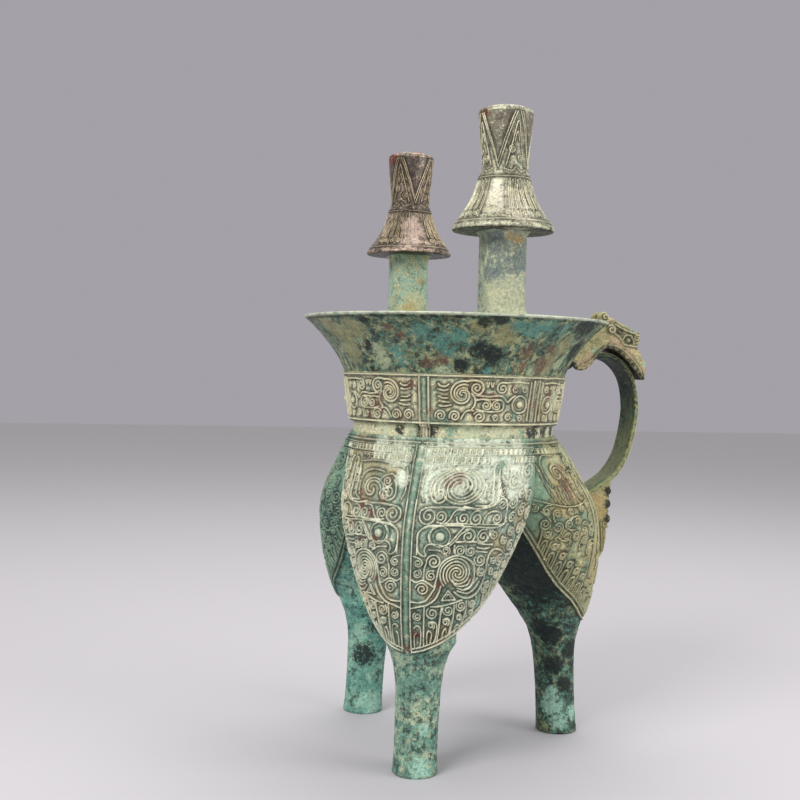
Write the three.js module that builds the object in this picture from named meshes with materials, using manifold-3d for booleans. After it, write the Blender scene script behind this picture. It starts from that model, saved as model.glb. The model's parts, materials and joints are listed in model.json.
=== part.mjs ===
import * as THREE from 'three';
import { mergeVertices } from 'three/addons/utils/BufferGeometryUtils.js';
import Module from 'manifold-3d';

// Bronze jia: a wine warmer with three pouched legs, a flared mouth, two capped posts and a beast
// handle. Millimetres, +Z up. The handle points along +X, above the first leg.

const wasm = await Module();
wasm.setup();

// Heights, one standing on the other from the floor up to the crown of the caps
const LEG_HEIGHT = 50;
const POUCH_HEIGHT = 91;
const LEDGE_HEIGHT = 5;
const BAND_HEIGHT = 22.4;
const FLARE_HEIGHT = 24.9;
const STEM_HEIGHT = 34.3;
const CAP_HEIGHT = 52.4;

// Vessel radii and walls
const LEDGE_RADIUS = 46;
const SHOULDER_RADIUS = 47.2;
const BAND_FOOT_RADIUS = 47.6;
const BAND_TOP_RADIUS = 50.9;
const RIM_RADIUS = 70.2;
const FLARE_LEAN = 4.3;
const WALL = 2.2;
const MASK_RELIEF = 0.6;
const EYE_RADIUS = 2.5;
const LIP_WIDTH = 2.2;
const LIP_RISE = 0.3;
const POUCH_FLOOR = 3;

// Legs: hollow castings on a circle about the axis, splayed a little towards the foot
const LEG_COUNT = 3;
const LEG_TOP_RADIUS = 12.5;
const LEG_ANKLE_RADIUS = 9.2;
const FOOT_RADIUS = 9.7;
const LEG_TOP_CIRCLE = 52.4;
const FOOT_CIRCLE = 55.8;
const LEG_WALL = 2.5;
const LEG_SOLE = 6;
const SPIGOT_LENGTH = 5;

// Posts: squared stems on the slope of the mouth, each with a round tenon in its cap
const POST_ANGLES = { near_post: -89, far_post: 97 };
const POST_CIRCLE = 59.3;
const STEM_HALF_WIDTH = 8.8;
const STEM_FILLET = 2.2;
const TENON_RADIUS = 5;
const TENON_LENGTH = 6.5;

// Caps: hollow bells under a waisted finial
const BRIM_RADIUS = 21.3;
const BRIM_EDGE = 1.8;
const BELL_TOP_RADIUS = 10.9;
const BELL_HEIGHT = 22.7;
const WAIST_RADIUS = 9.4;
const CROWN_RADIUS = 11.3;
const CROWN_RISE = 3.2;
const CAP_WALL = 2.4;
const CAP_PLATE = 2.6;

// Handle: a strap from the mouth's flare down to the pouch under it
const STRAP_WIDTH = 16;
const STRAP_THICKNESS = 2.6;
const STRAP_CROWN = 0.7;
const HANDLE_REACH = 88.4;
const HANDLE_ROOF_DROP = 14.7;
const HANDLE_FOOT_DROP = 80;
const HEAD_LENGTH = 40;
const HEAD_WIDTH = 22;
const TAIL_DROP = 32;
const TAIL_WIDTH = 11;

// Gap left between pieces that touch, and the distance within which vertices are one
const GAP = 0.3;
const WELD_DISTANCE = 0.0005;

const SEAT_Z = LEG_HEIGHT;
const SHOULDER_Z = SEAT_Z + POUCH_HEIGHT;
const BAND_Z = SHOULDER_Z + LEDGE_HEIGHT;
const NECK_Z = BAND_Z + BAND_HEIGHT;
const RIM_Z = NECK_Z + FLARE_HEIGHT;
const CAP_Z = RIM_Z + STEM_HEIGHT;
const CROWN_Z = CAP_Z + CAP_HEIGHT;

const radians = THREE.MathUtils.degToRad;
const mix = THREE.MathUtils.lerp;

// A section is one level of a column: its height, the centre's distance from the column's origin
// along X, its half sizes along X and Y, and the power of its superellipse (2 is round)
function section(z, centre, depth, width = depth, power = 2) {
  const outline = (angle) => [
    rounded(Math.cos(angle), power) * depth,
    rounded(Math.sin(angle), power) * width,
  ];
  return { z, centre, outline };
}

function disc(radius, z, centre = 0) {
  return section(z, centre, radius);
}

// Merges shared vertices and drops the triangles that collapse at a pole
function welded(geometry) {
  geometry.deleteAttribute('normal');
  geometry.deleteAttribute('uv');
  const merged = mergeVertices(geometry, WELD_DISTANCE);
  const index = merged.index.array;
  const kept = [];
  for (let i = 0; i < index.length; i += 3) {
    const corners = [index[i], index[i + 1], index[i + 2]];
    if (new Set(corners).size === 3) kept.push(...corners);
  }
  merged.setIndex(kept);
  return merged;
}

// A closed column through a list of sections, from a turned shape whose rings are then reshaped
function column(sections, segments) {
  const last = sections.length - 1;
  const profile = [
    new THREE.Vector2(0, sections[0].z),
    ...sections.map((level) => new THREE.Vector2(1, level.z)),
    new THREE.Vector2(0, sections[last].z),
  ];
  const geometry = new THREE.LatheGeometry(profile, segments);
  const position = geometry.attributes.position;
  for (let i = 0; i < position.count; i += 1) {
    const row = i % profile.length;
    const level = sections[Math.min(Math.max(row - 1, 0), last)];
    const onAxis = row === 0 || row === profile.length - 1;
    const angle = (2 * Math.PI * (Math.floor(i / profile.length) % segments)) / segments;
    const [across, along] = onAxis ? [0, 0] : level.outline(angle);
    position.setXYZ(i, level.centre + across, along, level.z);
  }
  return welded(geometry);
}

function rounded(value, power) {
  return Math.sign(value) * Math.abs(value) ** (2 / power);
}

// An outline in the upright plane of the handle, given as (distance from axis, height) pairs,
// made into a plate of the given width across that plane
function plate(outline, width) {
  const shape = new THREE.Shape(outline.map(([x, z]) => new THREE.Vector2(x, z)));
  const geometry = new THREE.ExtrudeGeometry(shape, { depth: width, bevelEnabled: false });
  geometry.rotateX(Math.PI / 2);
  geometry.translate(0, width / 2, 0);
  return welded(geometry);
}

function toSolid(geometry) {
  const vertProperties = new Float32Array(geometry.attributes.position.array);
  const triVerts = new Uint32Array(geometry.index.array);
  return new wasm.Manifold(new wasm.Mesh({ numProp: 3, vertProperties, triVerts }));
}

function toGeometry(solid) {
  const mesh = solid.getMesh();
  const geometry = new THREE.BufferGeometry();
  geometry.setAttribute('position', new THREE.BufferAttribute(mesh.vertProperties, 3));
  geometry.setIndex(new THREE.BufferAttribute(mesh.triVerts, 1));
  return geometry;
}

function turnedAbout(solid, degrees) {
  return solid.rotate([0, 0, degrees]);
}

// Vessel: the neck and mouth are turned, and three pouches swell out of the shoulder below them

function flare(inset) {
  const steps = 7;
  const lip = inset === 0 ? 0 : LIP_WIDTH + inset - WALL;
  const foot = new THREE.Vector2(BAND_TOP_RADIUS - inset, NECK_Z);
  const edge = new THREE.Vector2(RIM_RADIUS - lip, RIM_Z);
  const lean = new THREE.Vector2(foot.x + FLARE_LEAN, (NECK_Z + RIM_Z) / 2);
  return new THREE.QuadraticBezierCurve(foot, lean, edge).getPoints(steps);
}

const NECK_SEGMENTS = 48;
const NECK_OVERLAP = 12;

function neckSolid(grow) {
  const outline = [
    disc(LEDGE_RADIUS + grow, SHOULDER_Z - NECK_OVERLAP),
    disc(LEDGE_RADIUS + grow, BAND_Z - 0.4),
    disc(BAND_FOOT_RADIUS + grow, BAND_Z),
    ...flare(0).map((point) => disc(point.x + grow, point.y)),
  ];
  outline.push(disc(RIM_RADIUS + grow, RIM_Z + LIP_RISE + grow));
  return toSolid(column(outline, NECK_SEGMENTS));
}

function neckHollow() {
  const outline = [
    disc(LEDGE_RADIUS - WALL, SHOULDER_Z - NECK_OVERLAP),
    disc(LEDGE_RADIUS - WALL, BAND_Z),
    ...flare(WALL).map((point) => disc(point.x, point.y)),
    disc(RIM_RADIUS - LIP_WIDTH, RIM_Z + 2),
  ];
  return toSolid(column(outline, NECK_SEGMENTS));
}

// Shares of the way from the leg's top (0) to the shoulder (1): height, centre, depth and width
const POUCH_SHAPE = [
  [0, 0, 0, 0],
  [0.06, 0.014, 0.074, 0.082],
  [0.13, 0.047, 0.185, 0.232],
  [0.23, 0.095, 0.3, 0.378],
  [0.35, 0.173, 0.45, 0.535],
  [0.5, 0.284, 0.603, 0.7],
  [0.58, 0.348, 0.672, 0.775],
  [0.68, 0.436, 0.702, 0.85],
  [0.79, 0.572, 0.722, 0.87],
  [0.88, 0.747, 0.85, 0.91],
  [1, 1, 1, 1],
];
const POUCH_SEGMENTS = 24;

// Centre and half sizes of a pouch at a share of its height
function pouchLevel(share) {
  const upper = Math.max(1, POUCH_SHAPE.findIndex(([height]) => height >= share));
  const [low, high] = [POUCH_SHAPE[upper - 1], POUCH_SHAPE[upper]];
  const between = (share - low[0]) / (high[0] - low[0]);
  return {
    centre: mix(LEG_TOP_CIRCLE, 0, mix(low[1], high[1], between)),
    depth: mix(LEG_TOP_RADIUS, SHOULDER_RADIUS, mix(low[2], high[2], between)),
    width: mix(LEG_TOP_RADIUS, SHOULDER_RADIUS, mix(low[3], high[3], between)),
  };
}

// Distance from the axis to the outside of a pouch at a height
function pouchReach(z) {
  const level = pouchLevel((z - SEAT_Z) / POUCH_HEIGHT);
  return level.centre + level.depth;
}

// Angle at which a walk round a pouch, from its front, has a given length
function angleAt(round, { depth, width }) {
  const step = radians(0.5);
  let angle = 0;
  for (let walked = 0; walked < round && angle < Math.PI; angle += step) {
    walked += step * Math.hypot(depth * Math.sin(angle), width * Math.cos(angle));
  }
  return angle;
}

// The border of a pouch's mask, from the foot of its spine to the valley: distance round the pouch
// and height, both in shares of the pouch's height
const BORDER = [
  [0.02, 0.033],
  [0.11, 0.06],
  [0.22, 0.115],
  [0.33, 0.185],
  [0.46, 0.266],
  [0.571, 0.354],
  [0.659, 0.445],
  [0.742, 0.534],
  [0.79, 0.582],
];

function borderReach(share) {
  const upper = BORDER.findIndex(([, height]) => height >= share);
  if (upper < 1) return share < BORDER[0][1] ? BORDER[0][0] : BORDER[BORDER.length - 1][0];
  const [low, high] = [BORDER[upper - 1], BORDER[upper]];
  return mix(low[0], high[0], (share - low[1]) / (high[1] - low[1]));
}

// Inside the border a pouch is full, and behind it the side falls back nearly flat to the crotch
const FRONT_SHARE = 7 / 12;
const NARROW_FRONT = radians(64);
const BACK_FLATNESS = 0.6;

function pouchOutline(depth, width, edge, flatness) {
  return (turn) => {
    const side = turn > Math.PI ? -1 : 1;
    const share = side > 0 ? turn / Math.PI : 2 - turn / Math.PI;
    const behind = Math.max(0, (share - FRONT_SHARE) / (1 - FRONT_SHARE));
    const angle = behind > 0 ? mix(edge, Math.PI, behind) : (edge * share) / FRONT_SHARE;
    const flat = behind > 0 ? flatness : 0;
    return [
      mix(Math.cos(angle) * depth, mix(Math.cos(edge), -1, behind) * depth, flat),
      side * mix(Math.sin(angle) * width, mix(Math.sin(edge), 0, behind) * width, flat),
    ];
  };
}

function pouch(grow, floor, top) {
  const clamp = THREE.MathUtils.clamp;
  const levels = POUCH_SHAPE.map(([share]) => {
    const level = pouchLevel(share);
    const edge = Math.max(NARROW_FRONT, angleAt(borderReach(share) * POUCH_HEIGHT, level));
    const flatness = BACK_FLATNESS * clamp((share - 0.055) / 0.09, 0, 1) * clamp((0.615 - share) / 0.09, 0, 1);
    const outline = pouchOutline(level.depth + grow, level.width + grow, edge, flatness);
    return { z: mix(SEAT_Z + floor, top, share), centre: level.centre, outline };
  });
  return toSolid(column(levels, POUCH_SEGMENTS));
}

// Main ridges of the half mask right of the spine: distance round the pouch from the spine and height,
// in shares of the pouch's height
const SPINE = [0.04, 0.13, 0.35, 0.58, 0.79, 0.88, 0.975].map((share) => [0.022, share]);
const TOP_EDGE = [[0, 0.977], [0.15, 0.977], [0.3, 0.977], [0.45, 0.977], [0.58, 0.977]];
const HORN_BAR = [[0.055, 0.68], [0.14, 0.7], [0.3, 0.692], [0.39, 0.7], [0.403, 0.79], [0.39, 0.87]];
const BROW = [[0.05, 0.53], [0.06, 0.59], [0.13, 0.615], [0.3, 0.614], [0.47, 0.62]];
const JAW = [
  [0.05, 0.37], [0.129, 0.346], [0.165, 0.44], [0.21, 0.484], [0.28, 0.473], [0.318, 0.4], [0.27, 0.33],
];
const CRESCENT = [[0.22, 0.32], [0.3, 0.291], [0.36, 0.35], [0.385, 0.485], [0.42, 0.504]];
const EYE = [0.147, 0.569];
const HORN_SPIRAL = { middle: [0.214, 0.784], across: 0.125, up: 0.08, start: 205, turns: 1.35 };
const MASK_SHIFT = -2;
const PARTING = 22;
const RIDGE_HALF_WIDTH = 1;
const RIDGE_ROOT = 1.2;

// A horn that rolls inwards to half its size
function rolled({ middle, across, up, start, turns }) {
  const steps = Math.round(turns * 7);
  const points = [];
  for (let i = 0; i <= steps; i += 1) {
    const angle = radians(start - (360 * turns * i) / steps);
    const size = 1 - (0.5 * i) / steps;
    points.push([middle[0] + across * size * Math.cos(angle), middle[1] + up * size * Math.sin(angle)]);
  }
  return points;
}

// A place on the outside of a pouch, by signed distance round from its front and by height share
function onPouch(round, share) {
  const level = pouchLevel(share);
  const angle = Math.sign(round) * angleAt(Math.abs(round), level);
  return new THREE.Vector3(
    level.centre + level.depth * Math.cos(angle),
    level.width * Math.sin(angle),
    SEAT_Z + share * POUCH_HEIGHT,
  );
}

function outwards(round, share) {
  const along = onPouch(round + 1.5, share).sub(onPouch(round - 1.5, share));
  const up = onPouch(round, share + 0.01).sub(onPouch(round, share - 0.01));
  return along.cross(up).normalize();
}

// A cast ridge of triangular section along a line on the pouch
function ridge(line) {
  const middles = line.map(([round, share]) => onPouch(round, share));
  const corners = line.flatMap(([round, share], i) => {
    const out = outwards(round, share);
    const ahead = middles[Math.min(i + 1, line.length - 1)].clone().sub(middles[Math.max(i - 1, 0)]);
    const aside = ahead.cross(out).normalize().multiplyScalar(RIDGE_HALF_WIDTH);
    const root = middles[i].clone().addScaledVector(out, -RIDGE_ROOT);
    const crest = middles[i].clone().addScaledVector(out, MASK_RELIEF);
    return [root.clone().add(aside), crest, root.sub(aside)];
  });
  const faces = [0, 1, 2];
  for (let i = 0; i < corners.length - 3; i += 3) {
    for (let k = 0; k < 3; k += 1) {
      const next = (k + 1) % 3;
      faces.push(i + k, i + 3 + k, i + next, i + next, i + 3 + k, i + 3 + next);
    }
  }
  const end = corners.length - 3;
  faces.push(end, end + 2, end + 1);
  const vertProperties = new Float32Array(corners.flatMap((corner) => corner.toArray()));
  return new wasm.Manifold(new wasm.Mesh({ numProp: 3, vertProperties, triVerts: new Uint32Array(faces) }));
}

// Both halves of a mask, parted by a bare strip where the handle's tail lies on the spine
function mask(parting) {
  const atEdges = parting > 0 ? [BORDER, TOP_EDGE] : [BORDER, TOP_EDGE, SPINE];
  const besideSpine = [HORN_BAR, BROW, JAW, rolled(HORN_SPIRAL), ...(parting > 0 ? [] : [CRESCENT])];
  const lines = [
    ...atEdges.map((line) => ({ line, apart: 0 })),
    ...besideSpine.map((line) => ({ line, apart: parting })),
  ];
  const raised = [];
  for (const side of [-1, 1]) {
    const place = ([round, share], apart) => [side * (round * POUCH_HEIGHT + apart) + MASK_SHIFT, share];
    for (const { line, apart } of lines) raised.push(ridge(line.map((point) => place(point, apart))));
    const eye = onPouch(...place(EYE, parting));
    raised.push(wasm.Manifold.sphere(EYE_RADIUS, 8).translate(eye.toArray()));
  }
  return wasm.Manifold.union(raised);
}

function onEachLeg(solid) {
  const copies = [];
  for (let i = 0; i < LEG_COUNT; i += 1) copies.push(turnedAbout(solid, (360 * i) / LEG_COUNT));
  return wasm.Manifold.union(copies);
}

function vesselEnvelope(grow) {
  return neckSolid(grow).add(onEachLeg(pouch(grow, -grow, SHOULDER_Z + grow)));
}

// Distance of a leg's centre line from the vessel's axis
function legCentre(z) {
  return mix(FOOT_CIRCLE, LEG_TOP_CIRCLE, z / SEAT_Z);
}

// Outer radius of a leg: straight ankle, then swelling to its top
const LEG_SHAPE = [[0, 0], [0.4, 0], [0.72, 0.14], [0.87, 0.42], [1, 1]];

function legRadius(share) {
  if (share === 0) return FOOT_RADIUS;
  const upper = LEG_SHAPE.findIndex(([height]) => height >= share);
  const [lowHeight, lowSwell] = LEG_SHAPE[upper - 1];
  const [highHeight, highSwell] = LEG_SHAPE[upper];
  const swell = mix(lowSwell, highSwell, (share - lowHeight) / (highHeight - lowHeight));
  return mix(LEG_ANKLE_RADIUS, LEG_TOP_RADIUS, swell);
}

function legRing(z, inset) {
  return disc(legRadius(z / SEAT_Z) - inset, z, legCentre(z));
}

const LEG_SEGMENTS = 20;
const LEG_LEVELS = LEG_SHAPE.map(([share]) => share * SEAT_Z);

// The spigot under each pouch that locates its leg
function spigot() {
  const tip = SEAT_Z - SPIGOT_LENGTH;
  const neck = legRadius(1) - LEG_WALL - GAP;
  const rings = [
    legRing(tip, LEG_WALL + GAP),
    disc(neck, SEAT_Z, LEG_TOP_CIRCLE),
    disc(neck, SEAT_Z + POUCH_FLOOR / 2, LEG_TOP_CIRCLE),
  ];
  return toSolid(column(rings, LEG_SEGMENTS));
}

function vesselBody() {
  const hollow = neckHollow().add(onEachLeg(pouch(-WALL, POUCH_FLOOR, SHOULDER_Z)));
  const masks = [PARTING, 0, 0].map((parting, i) => turnedAbout(mask(parting), (360 * i) / LEG_COUNT));
  const outside = wasm.Manifold.union([vesselEnvelope(0), ...masks]);
  return outside.subtract(hollow).add(onEachLeg(spigot()));
}

// The body in four pieces: the mouth with the neck above the shoulder, and a pouch in each third below
function aboveShoulder(solid) {
  return solid.trimByPlane([0, 0, 1], SHOULDER_Z + GAP / 2);
}

function thirdBelowShoulder(solid, angle) {
  const half = 180 / LEG_COUNT;
  const facing = (degrees) => [Math.cos(radians(degrees)), Math.sin(radians(degrees)), 0];
  return solid
    .trimByPlane([0, 0, -1], GAP / 2 - SHOULDER_Z)
    .trimByPlane(facing(angle + 90 - half), GAP / 2)
    .trimByPlane(facing(angle - 90 + half), GAP / 2);
}

// Legs: cups with a thick sole, closed above by the spigot, with the clay casting core inside

function legShell() {
  const top = SEAT_Z - GAP;
  const outer = LEG_LEVELS.map((z) => legRing(Math.min(z, top), 0));
  const inner = [SEAT_Z - GAP, ...LEG_LEVELS.slice(1, -1).reverse(), LEG_SOLE];
  const cavity = inner.map((z) => legRing(z, LEG_WALL));
  return column([...outer, ...cavity], LEG_SEGMENTS);
}

function legCore() {
  const top = SEAT_Z - SPIGOT_LENGTH - GAP;
  const between = LEG_LEVELS.slice(1, -1).filter((z) => z < top);
  const levels = [LEG_SOLE + GAP, ...between, top];
  return column(levels.map((z) => legRing(z, LEG_WALL + GAP)), LEG_SEGMENTS);
}

// Posts: the foot of each stem is cut to the slope of the mouth and sits over the lip

const STEM_POWER = 4;
const STEM_SEGMENTS = 24;

function mouthWall() {
  const slope = flare(WALL + GAP * 1.5);
  const outside = RIM_RADIUS * 1.5;
  const top = RIM_Z + LIP_RISE + GAP;
  const bottom = NECK_Z - NECK_OVERLAP;
  const outline = [
    new THREE.Vector2(slope[0].x, bottom),
    new THREE.Vector2(outside, bottom),
    new THREE.Vector2(outside, top),
    new THREE.Vector2(slope[slope.length - 1].x, top),
    ...slope.reverse(),
    new THREE.Vector2(slope[slope.length - 1].x, bottom),
  ];
  const geometry = new THREE.LatheGeometry(outline, NECK_SEGMENTS);
  geometry.rotateX(Math.PI / 2);
  return toSolid(welded(geometry));
}

function postStem(angle) {
  const flared = STEM_HALF_WIDTH + STEM_FILLET * 0.7;
  const square = (z, half) => section(z, POST_CIRCLE, half, half, STEM_POWER);
  const underCap = CAP_Z - GAP;
  const levels = [
    square(NECK_Z - NECK_OVERLAP / 2, flared),
    square(RIM_Z, flared),
    square(RIM_Z + STEM_FILLET * 0.4, STEM_HALF_WIDTH + STEM_FILLET * 0.3),
    square(RIM_Z + STEM_FILLET * 1.4, STEM_HALF_WIDTH),
    square(underCap - STEM_FILLET, STEM_HALF_WIDTH),
    square(underCap - STEM_FILLET * 0.4, STEM_HALF_WIDTH + STEM_FILLET * 0.3),
    square(underCap, flared),
    disc(TENON_RADIUS, underCap, POST_CIRCLE),
    disc(TENON_RADIUS, underCap + TENON_LENGTH, POST_CIRCLE),
  ];
  const blank = turnedAbout(toSolid(column(levels, STEM_SEGMENTS)), angle);
  return blank.subtract(mouthWall());
}

// Caps: one turned wall from the crown out to the brim, back under it and up inside the bell

const CAP_SEGMENTS = 24;
const BELL_Z = CAP_Z + BELL_HEIGHT;
const CROWN_EDGE_Z = CROWN_Z - CROWN_RISE;

// Bell radius at a share of its height: steep at the brim, then leaning in towards the ring
function bellRadius(share) {
  return mix(BRIM_RADIUS, BELL_TOP_RADIUS, 1 - (1 - share) ** 1.7);
}

function capOutline(inset, floor, ceiling) {
  const bell = [0.3, 0.5, 0.75, 1].map((share) => (
    disc(bellRadius(share) - inset, mix(CAP_Z + BRIM_EDGE, BELL_Z, share))
  ));
  const finial = [
    disc(WAIST_RADIUS - inset, mix(BELL_Z, CROWN_EDGE_Z, 0.1)),
    disc(mix(WAIST_RADIUS, CROWN_RADIUS, 0.2) - inset, mix(BELL_Z, CROWN_EDGE_Z, 0.42)),
    disc(mix(WAIST_RADIUS, CROWN_RADIUS, 0.7) - inset, mix(BELL_Z, CROWN_EDGE_Z, 0.7)),
  ];
  return [...floor, ...bell, ...finial, ...ceiling];
}

function capCrown() {
  return [
    disc(CROWN_RADIUS, CROWN_EDGE_Z),
    disc(CROWN_RADIUS * 0.72, CROWN_Z - CROWN_RISE * 0.4),
    disc(CROWN_RADIUS * 0.36, CROWN_Z - CROWN_RISE * 0.08),
    disc(0.1, CROWN_Z),
  ];
}

function capCavity(gap) {
  const inset = CAP_WALL + gap;
  const base = CAP_Z + CAP_PLATE + gap;
  const floor = [disc(bellRadius(0.12) - inset, base)];
  const ceiling = [disc(mix(WAIST_RADIUS, CROWN_RADIUS, 0.9) - inset, CROWN_EDGE_Z - inset)];
  return capOutline(inset, floor, ceiling);
}

function capShell() {
  const brim = [disc(BRIM_RADIUS, CAP_Z), disc(BRIM_RADIUS - 0.4, CAP_Z + BRIM_EDGE)];
  const socket = TENON_RADIUS + GAP;
  const outer = capOutline(0, brim, capCrown());
  const cavity = toSolid(column(capCavity(0), CAP_SEGMENTS));
  const hole = toSolid(column([disc(socket, CAP_Z - 1), disc(socket, CAP_Z + CAP_PLATE + 1)], CAP_SEGMENTS));
  return toSolid(column(outer, CAP_SEGMENTS)).subtract(cavity.add(hole));
}

function capCore() {
  const recess = TENON_RADIUS + GAP;
  const top = CAP_Z + TENON_LENGTH;
  const blank = toSolid(column(capCavity(GAP), CAP_SEGMENTS));
  return blank.subtract(toSolid(column([disc(recess, CAP_Z), disc(recess, top)], CAP_SEGMENTS)));
}

// Handle strap: shares of its reach beyond the pouch's wall and of its height above the lower joint
const STRAP_PATH = [
  [-0.15, -0.06],
  [0.36, 0.062],
  [0.645, 0.15],
  [0.86, 0.29],
  [0.99, 0.49],
  [1.02, 0.65],
  [0.94, 0.82],
  [0.75, 0.935],
  [0.5, 0.993],
  [0.2, 1],
  [-0.38, 0.985],
];
const STRAP_STEPS = 34;
const ROOF_Z = RIM_Z - HANDLE_ROOF_DROP;
const FOOT_Z = RIM_Z - HANDLE_FOOT_DROP;
const STRAP_ROOT_RADIUS = pouchReach(FOOT_Z) - STRAP_THICKNESS * 1.3;

function strapCurve() {
  return new THREE.CatmullRomCurve3(STRAP_PATH.map(([reach, height]) => new THREE.Vector3(
    mix(STRAP_ROOT_RADIUS, HANDLE_REACH, reach),
    0,
    mix(FOOT_Z, ROOF_Z, height),
  )));
}

// A crowned band: flat edges, a swelling outer face and a slightly hollow inner one
function strapSolid(grow) {
  const side = STRAP_WIDTH / 2 + grow;
  const half = STRAP_THICKNESS / 2 + grow;
  const shape = new THREE.Shape();
  shape.moveTo(-side, -half);
  shape.lineTo(0, -half + (grow > 0 ? 0 : STRAP_CROWN));
  shape.lineTo(side, -half);
  shape.lineTo(side, half);
  shape.lineTo(side * 0.5, half + STRAP_CROWN * 0.75);
  shape.lineTo(-side * 0.5, half + STRAP_CROWN * 0.75);
  shape.lineTo(-side, half);
  const sweep = { steps: STRAP_STEPS, extrudePath: strapCurve(), bevelEnabled: false };
  return toSolid(welded(new THREE.ExtrudeGeometry(shape, sweep)));
}

function strap() {
  return strapSolid(0).subtract(vesselEnvelope(GAP));
}

// Beast head: its side view in shares of its length, measured from the edge of the rim, from the horn
// down the brow to the chin, back along the arch over the strap and round the jaws on the flare
const HEAD_OUTLINE = [
  [-0.055, 0.01],
  [-0.015, 0.04],
  [0.03, 0.14],
  [0.07, 0.165],
  [0.115, 0.115],
  [0.215, 0.04],
  [0.362, -0.015],
  [0.46, -0.085],
  [0.465, -0.165],
  [0.435, -0.24],
  [0.49, -0.338],
  [0.535, -0.46],
  [0.522, -0.655],
  [0.472, -0.573],
  [0.345, -0.45],
  [0.16, -0.297],
  [0.048, -0.275],
  [-0.068, -0.392],
  [-0.177, -0.53],
  [-0.305, -0.55],
  [-0.385, -0.492],
  [-0.45, -0.425],
];

function beastHead() {
  const outline = HEAD_OUTLINE.map(([out, up]) => [
    RIM_RADIUS + out * HEAD_LENGTH,
    RIM_Z + up * HEAD_LENGTH,
  ]);
  const blank = toSolid(plate(outline, HEAD_WIDTH));
  const track = strapCurve().getSpacedPoints(STRAP_STEPS * 2);
  const bed = track.filter((point) => point.z > mix(FOOT_Z, ROOF_Z, 0.7)).map((point) => [point.x, point.z]);
  const below = FOOT_Z;
  const room = [...bed, [BAND_TOP_RADIUS / 2, below], [bed[0][0], below]];
  const channel = toSolid(plate(room, STRAP_WIDTH + 2 * GAP));
  return blank.subtract(channel).subtract(strapSolid(GAP)).subtract(vesselEnvelope(GAP));
}

// Tail: a hooked fin under the strap, in shares of its drop below the strap's lower joint
const TAIL_OUTLINE = [
  [-0.25, 0.016],
  [-0.062, -1],
  [0.156, -1],
  [0.275, -0.95],
  [0.344, -0.8],
  [0.356, -0.562],
  [0.4, -0.394],
  [0.425, -0.219],
  [0.431, -0.031],
  [0.444, 0.156],
  [0.431, 0.281],
  [0.188, 0.25],
];

function handleTail() {
  const root = pouchReach(FOOT_Z);
  const outline = TAIL_OUTLINE.map(([out, up]) => [root + out * TAIL_DROP, FOOT_Z + up * TAIL_DROP]);
  const blank = toSolid(plate(outline, TAIL_WIDTH));
  const track = strapCurve().getSpacedPoints(STRAP_STEPS * 2);
  const lower = track.filter((point) => point.z < mix(FOOT_Z, ROOF_Z, 0.3)).map((point) => [point.x, point.z]);
  const above = mix(FOOT_Z, ROOF_Z, 0.3);
  const room = [...lower, [lower[0][0], above]];
  const cover = toSolid(plate(room, STRAP_WIDTH));
  return blank.subtract(cover).subtract(strapSolid(GAP)).subtract(vesselEnvelope(GAP));
}

// Finishes, as seen on the old surface: green corroded bronze, browner on the caps
const VERDIGRIS = { color: 0x6f8f78, roughness: 0.72, metalness: 0.35 };
const LEG_GREEN = { color: 0x4f7f6c, roughness: 0.7, metalness: 0.35 };
const STEM_GREEN = { color: 0x8b9c86, roughness: 0.75, metalness: 0.3 };
const CAP_BROWN = { color: 0x7c7763, roughness: 0.6, metalness: 0.45 };
const STRAP_GREEN = { color: 0x4c5e4a, roughness: 0.65, metalness: 0.4 };
const HEAD_OCHRE = { color: 0xa39a72, roughness: 0.75, metalness: 0.3 };
const CLAY = { color: 0x9a7b5f, roughness: 0.95, metalness: 0 };

const jia = new THREE.Group();

function place(name, geometry, finish, angle = 0) {
  const mesh = new THREE.Mesh(geometry, new THREE.MeshStandardMaterial(finish));
  mesh.name = name;
  mesh.rotation.z = radians(angle);
  jia.add(mesh);
}

const body = vesselBody();
place('mouth_and_neck', toGeometry(aboveShoulder(body)), VERDIGRIS);

const LEG_NAMES = ['handle_side', 'back', 'front'];
LEG_NAMES.forEach((side, i) => {
  const angle = (360 * i) / LEG_COUNT;
  place(`${side}_pouch`, toGeometry(thirdBelowShoulder(body, angle)), VERDIGRIS);
  place(`${side}_leg`, legShell(), LEG_GREEN, angle);
  place(`${side}_leg_core`, legCore(), CLAY, angle);
});

for (const [name, angle] of Object.entries(POST_ANGLES)) {
  place(`${name}_stem`, toGeometry(postStem(angle)), STEM_GREEN);
  const onPost = new THREE.Matrix4().makeTranslation(POST_CIRCLE, 0, 0);
  place(`${name}_cap`, toGeometry(capShell()).applyMatrix4(onPost), CAP_BROWN, angle);
  place(`${name}_cap_core`, toGeometry(capCore()).applyMatrix4(onPost), CLAY, angle);
}

place('handle_strap', toGeometry(strap()), STRAP_GREEN);
place('beast_head', toGeometry(beastHead()), HEAD_OCHRE);
place('handle_tail', toGeometry(handleTail()), HEAD_OCHRE);

// The origin is on the floor, under the middle of the whole part
const middle = new THREE.Box3().setFromObject(jia, true).getCenter(new THREE.Vector3());
for (const mesh of jia.children) mesh.position.set(-middle.x, -middle.y, 0);

export default jia;
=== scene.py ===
import json
import math

import bmesh
import bpy
import numpy as np
from mathutils import Matrix, Vector

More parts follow.
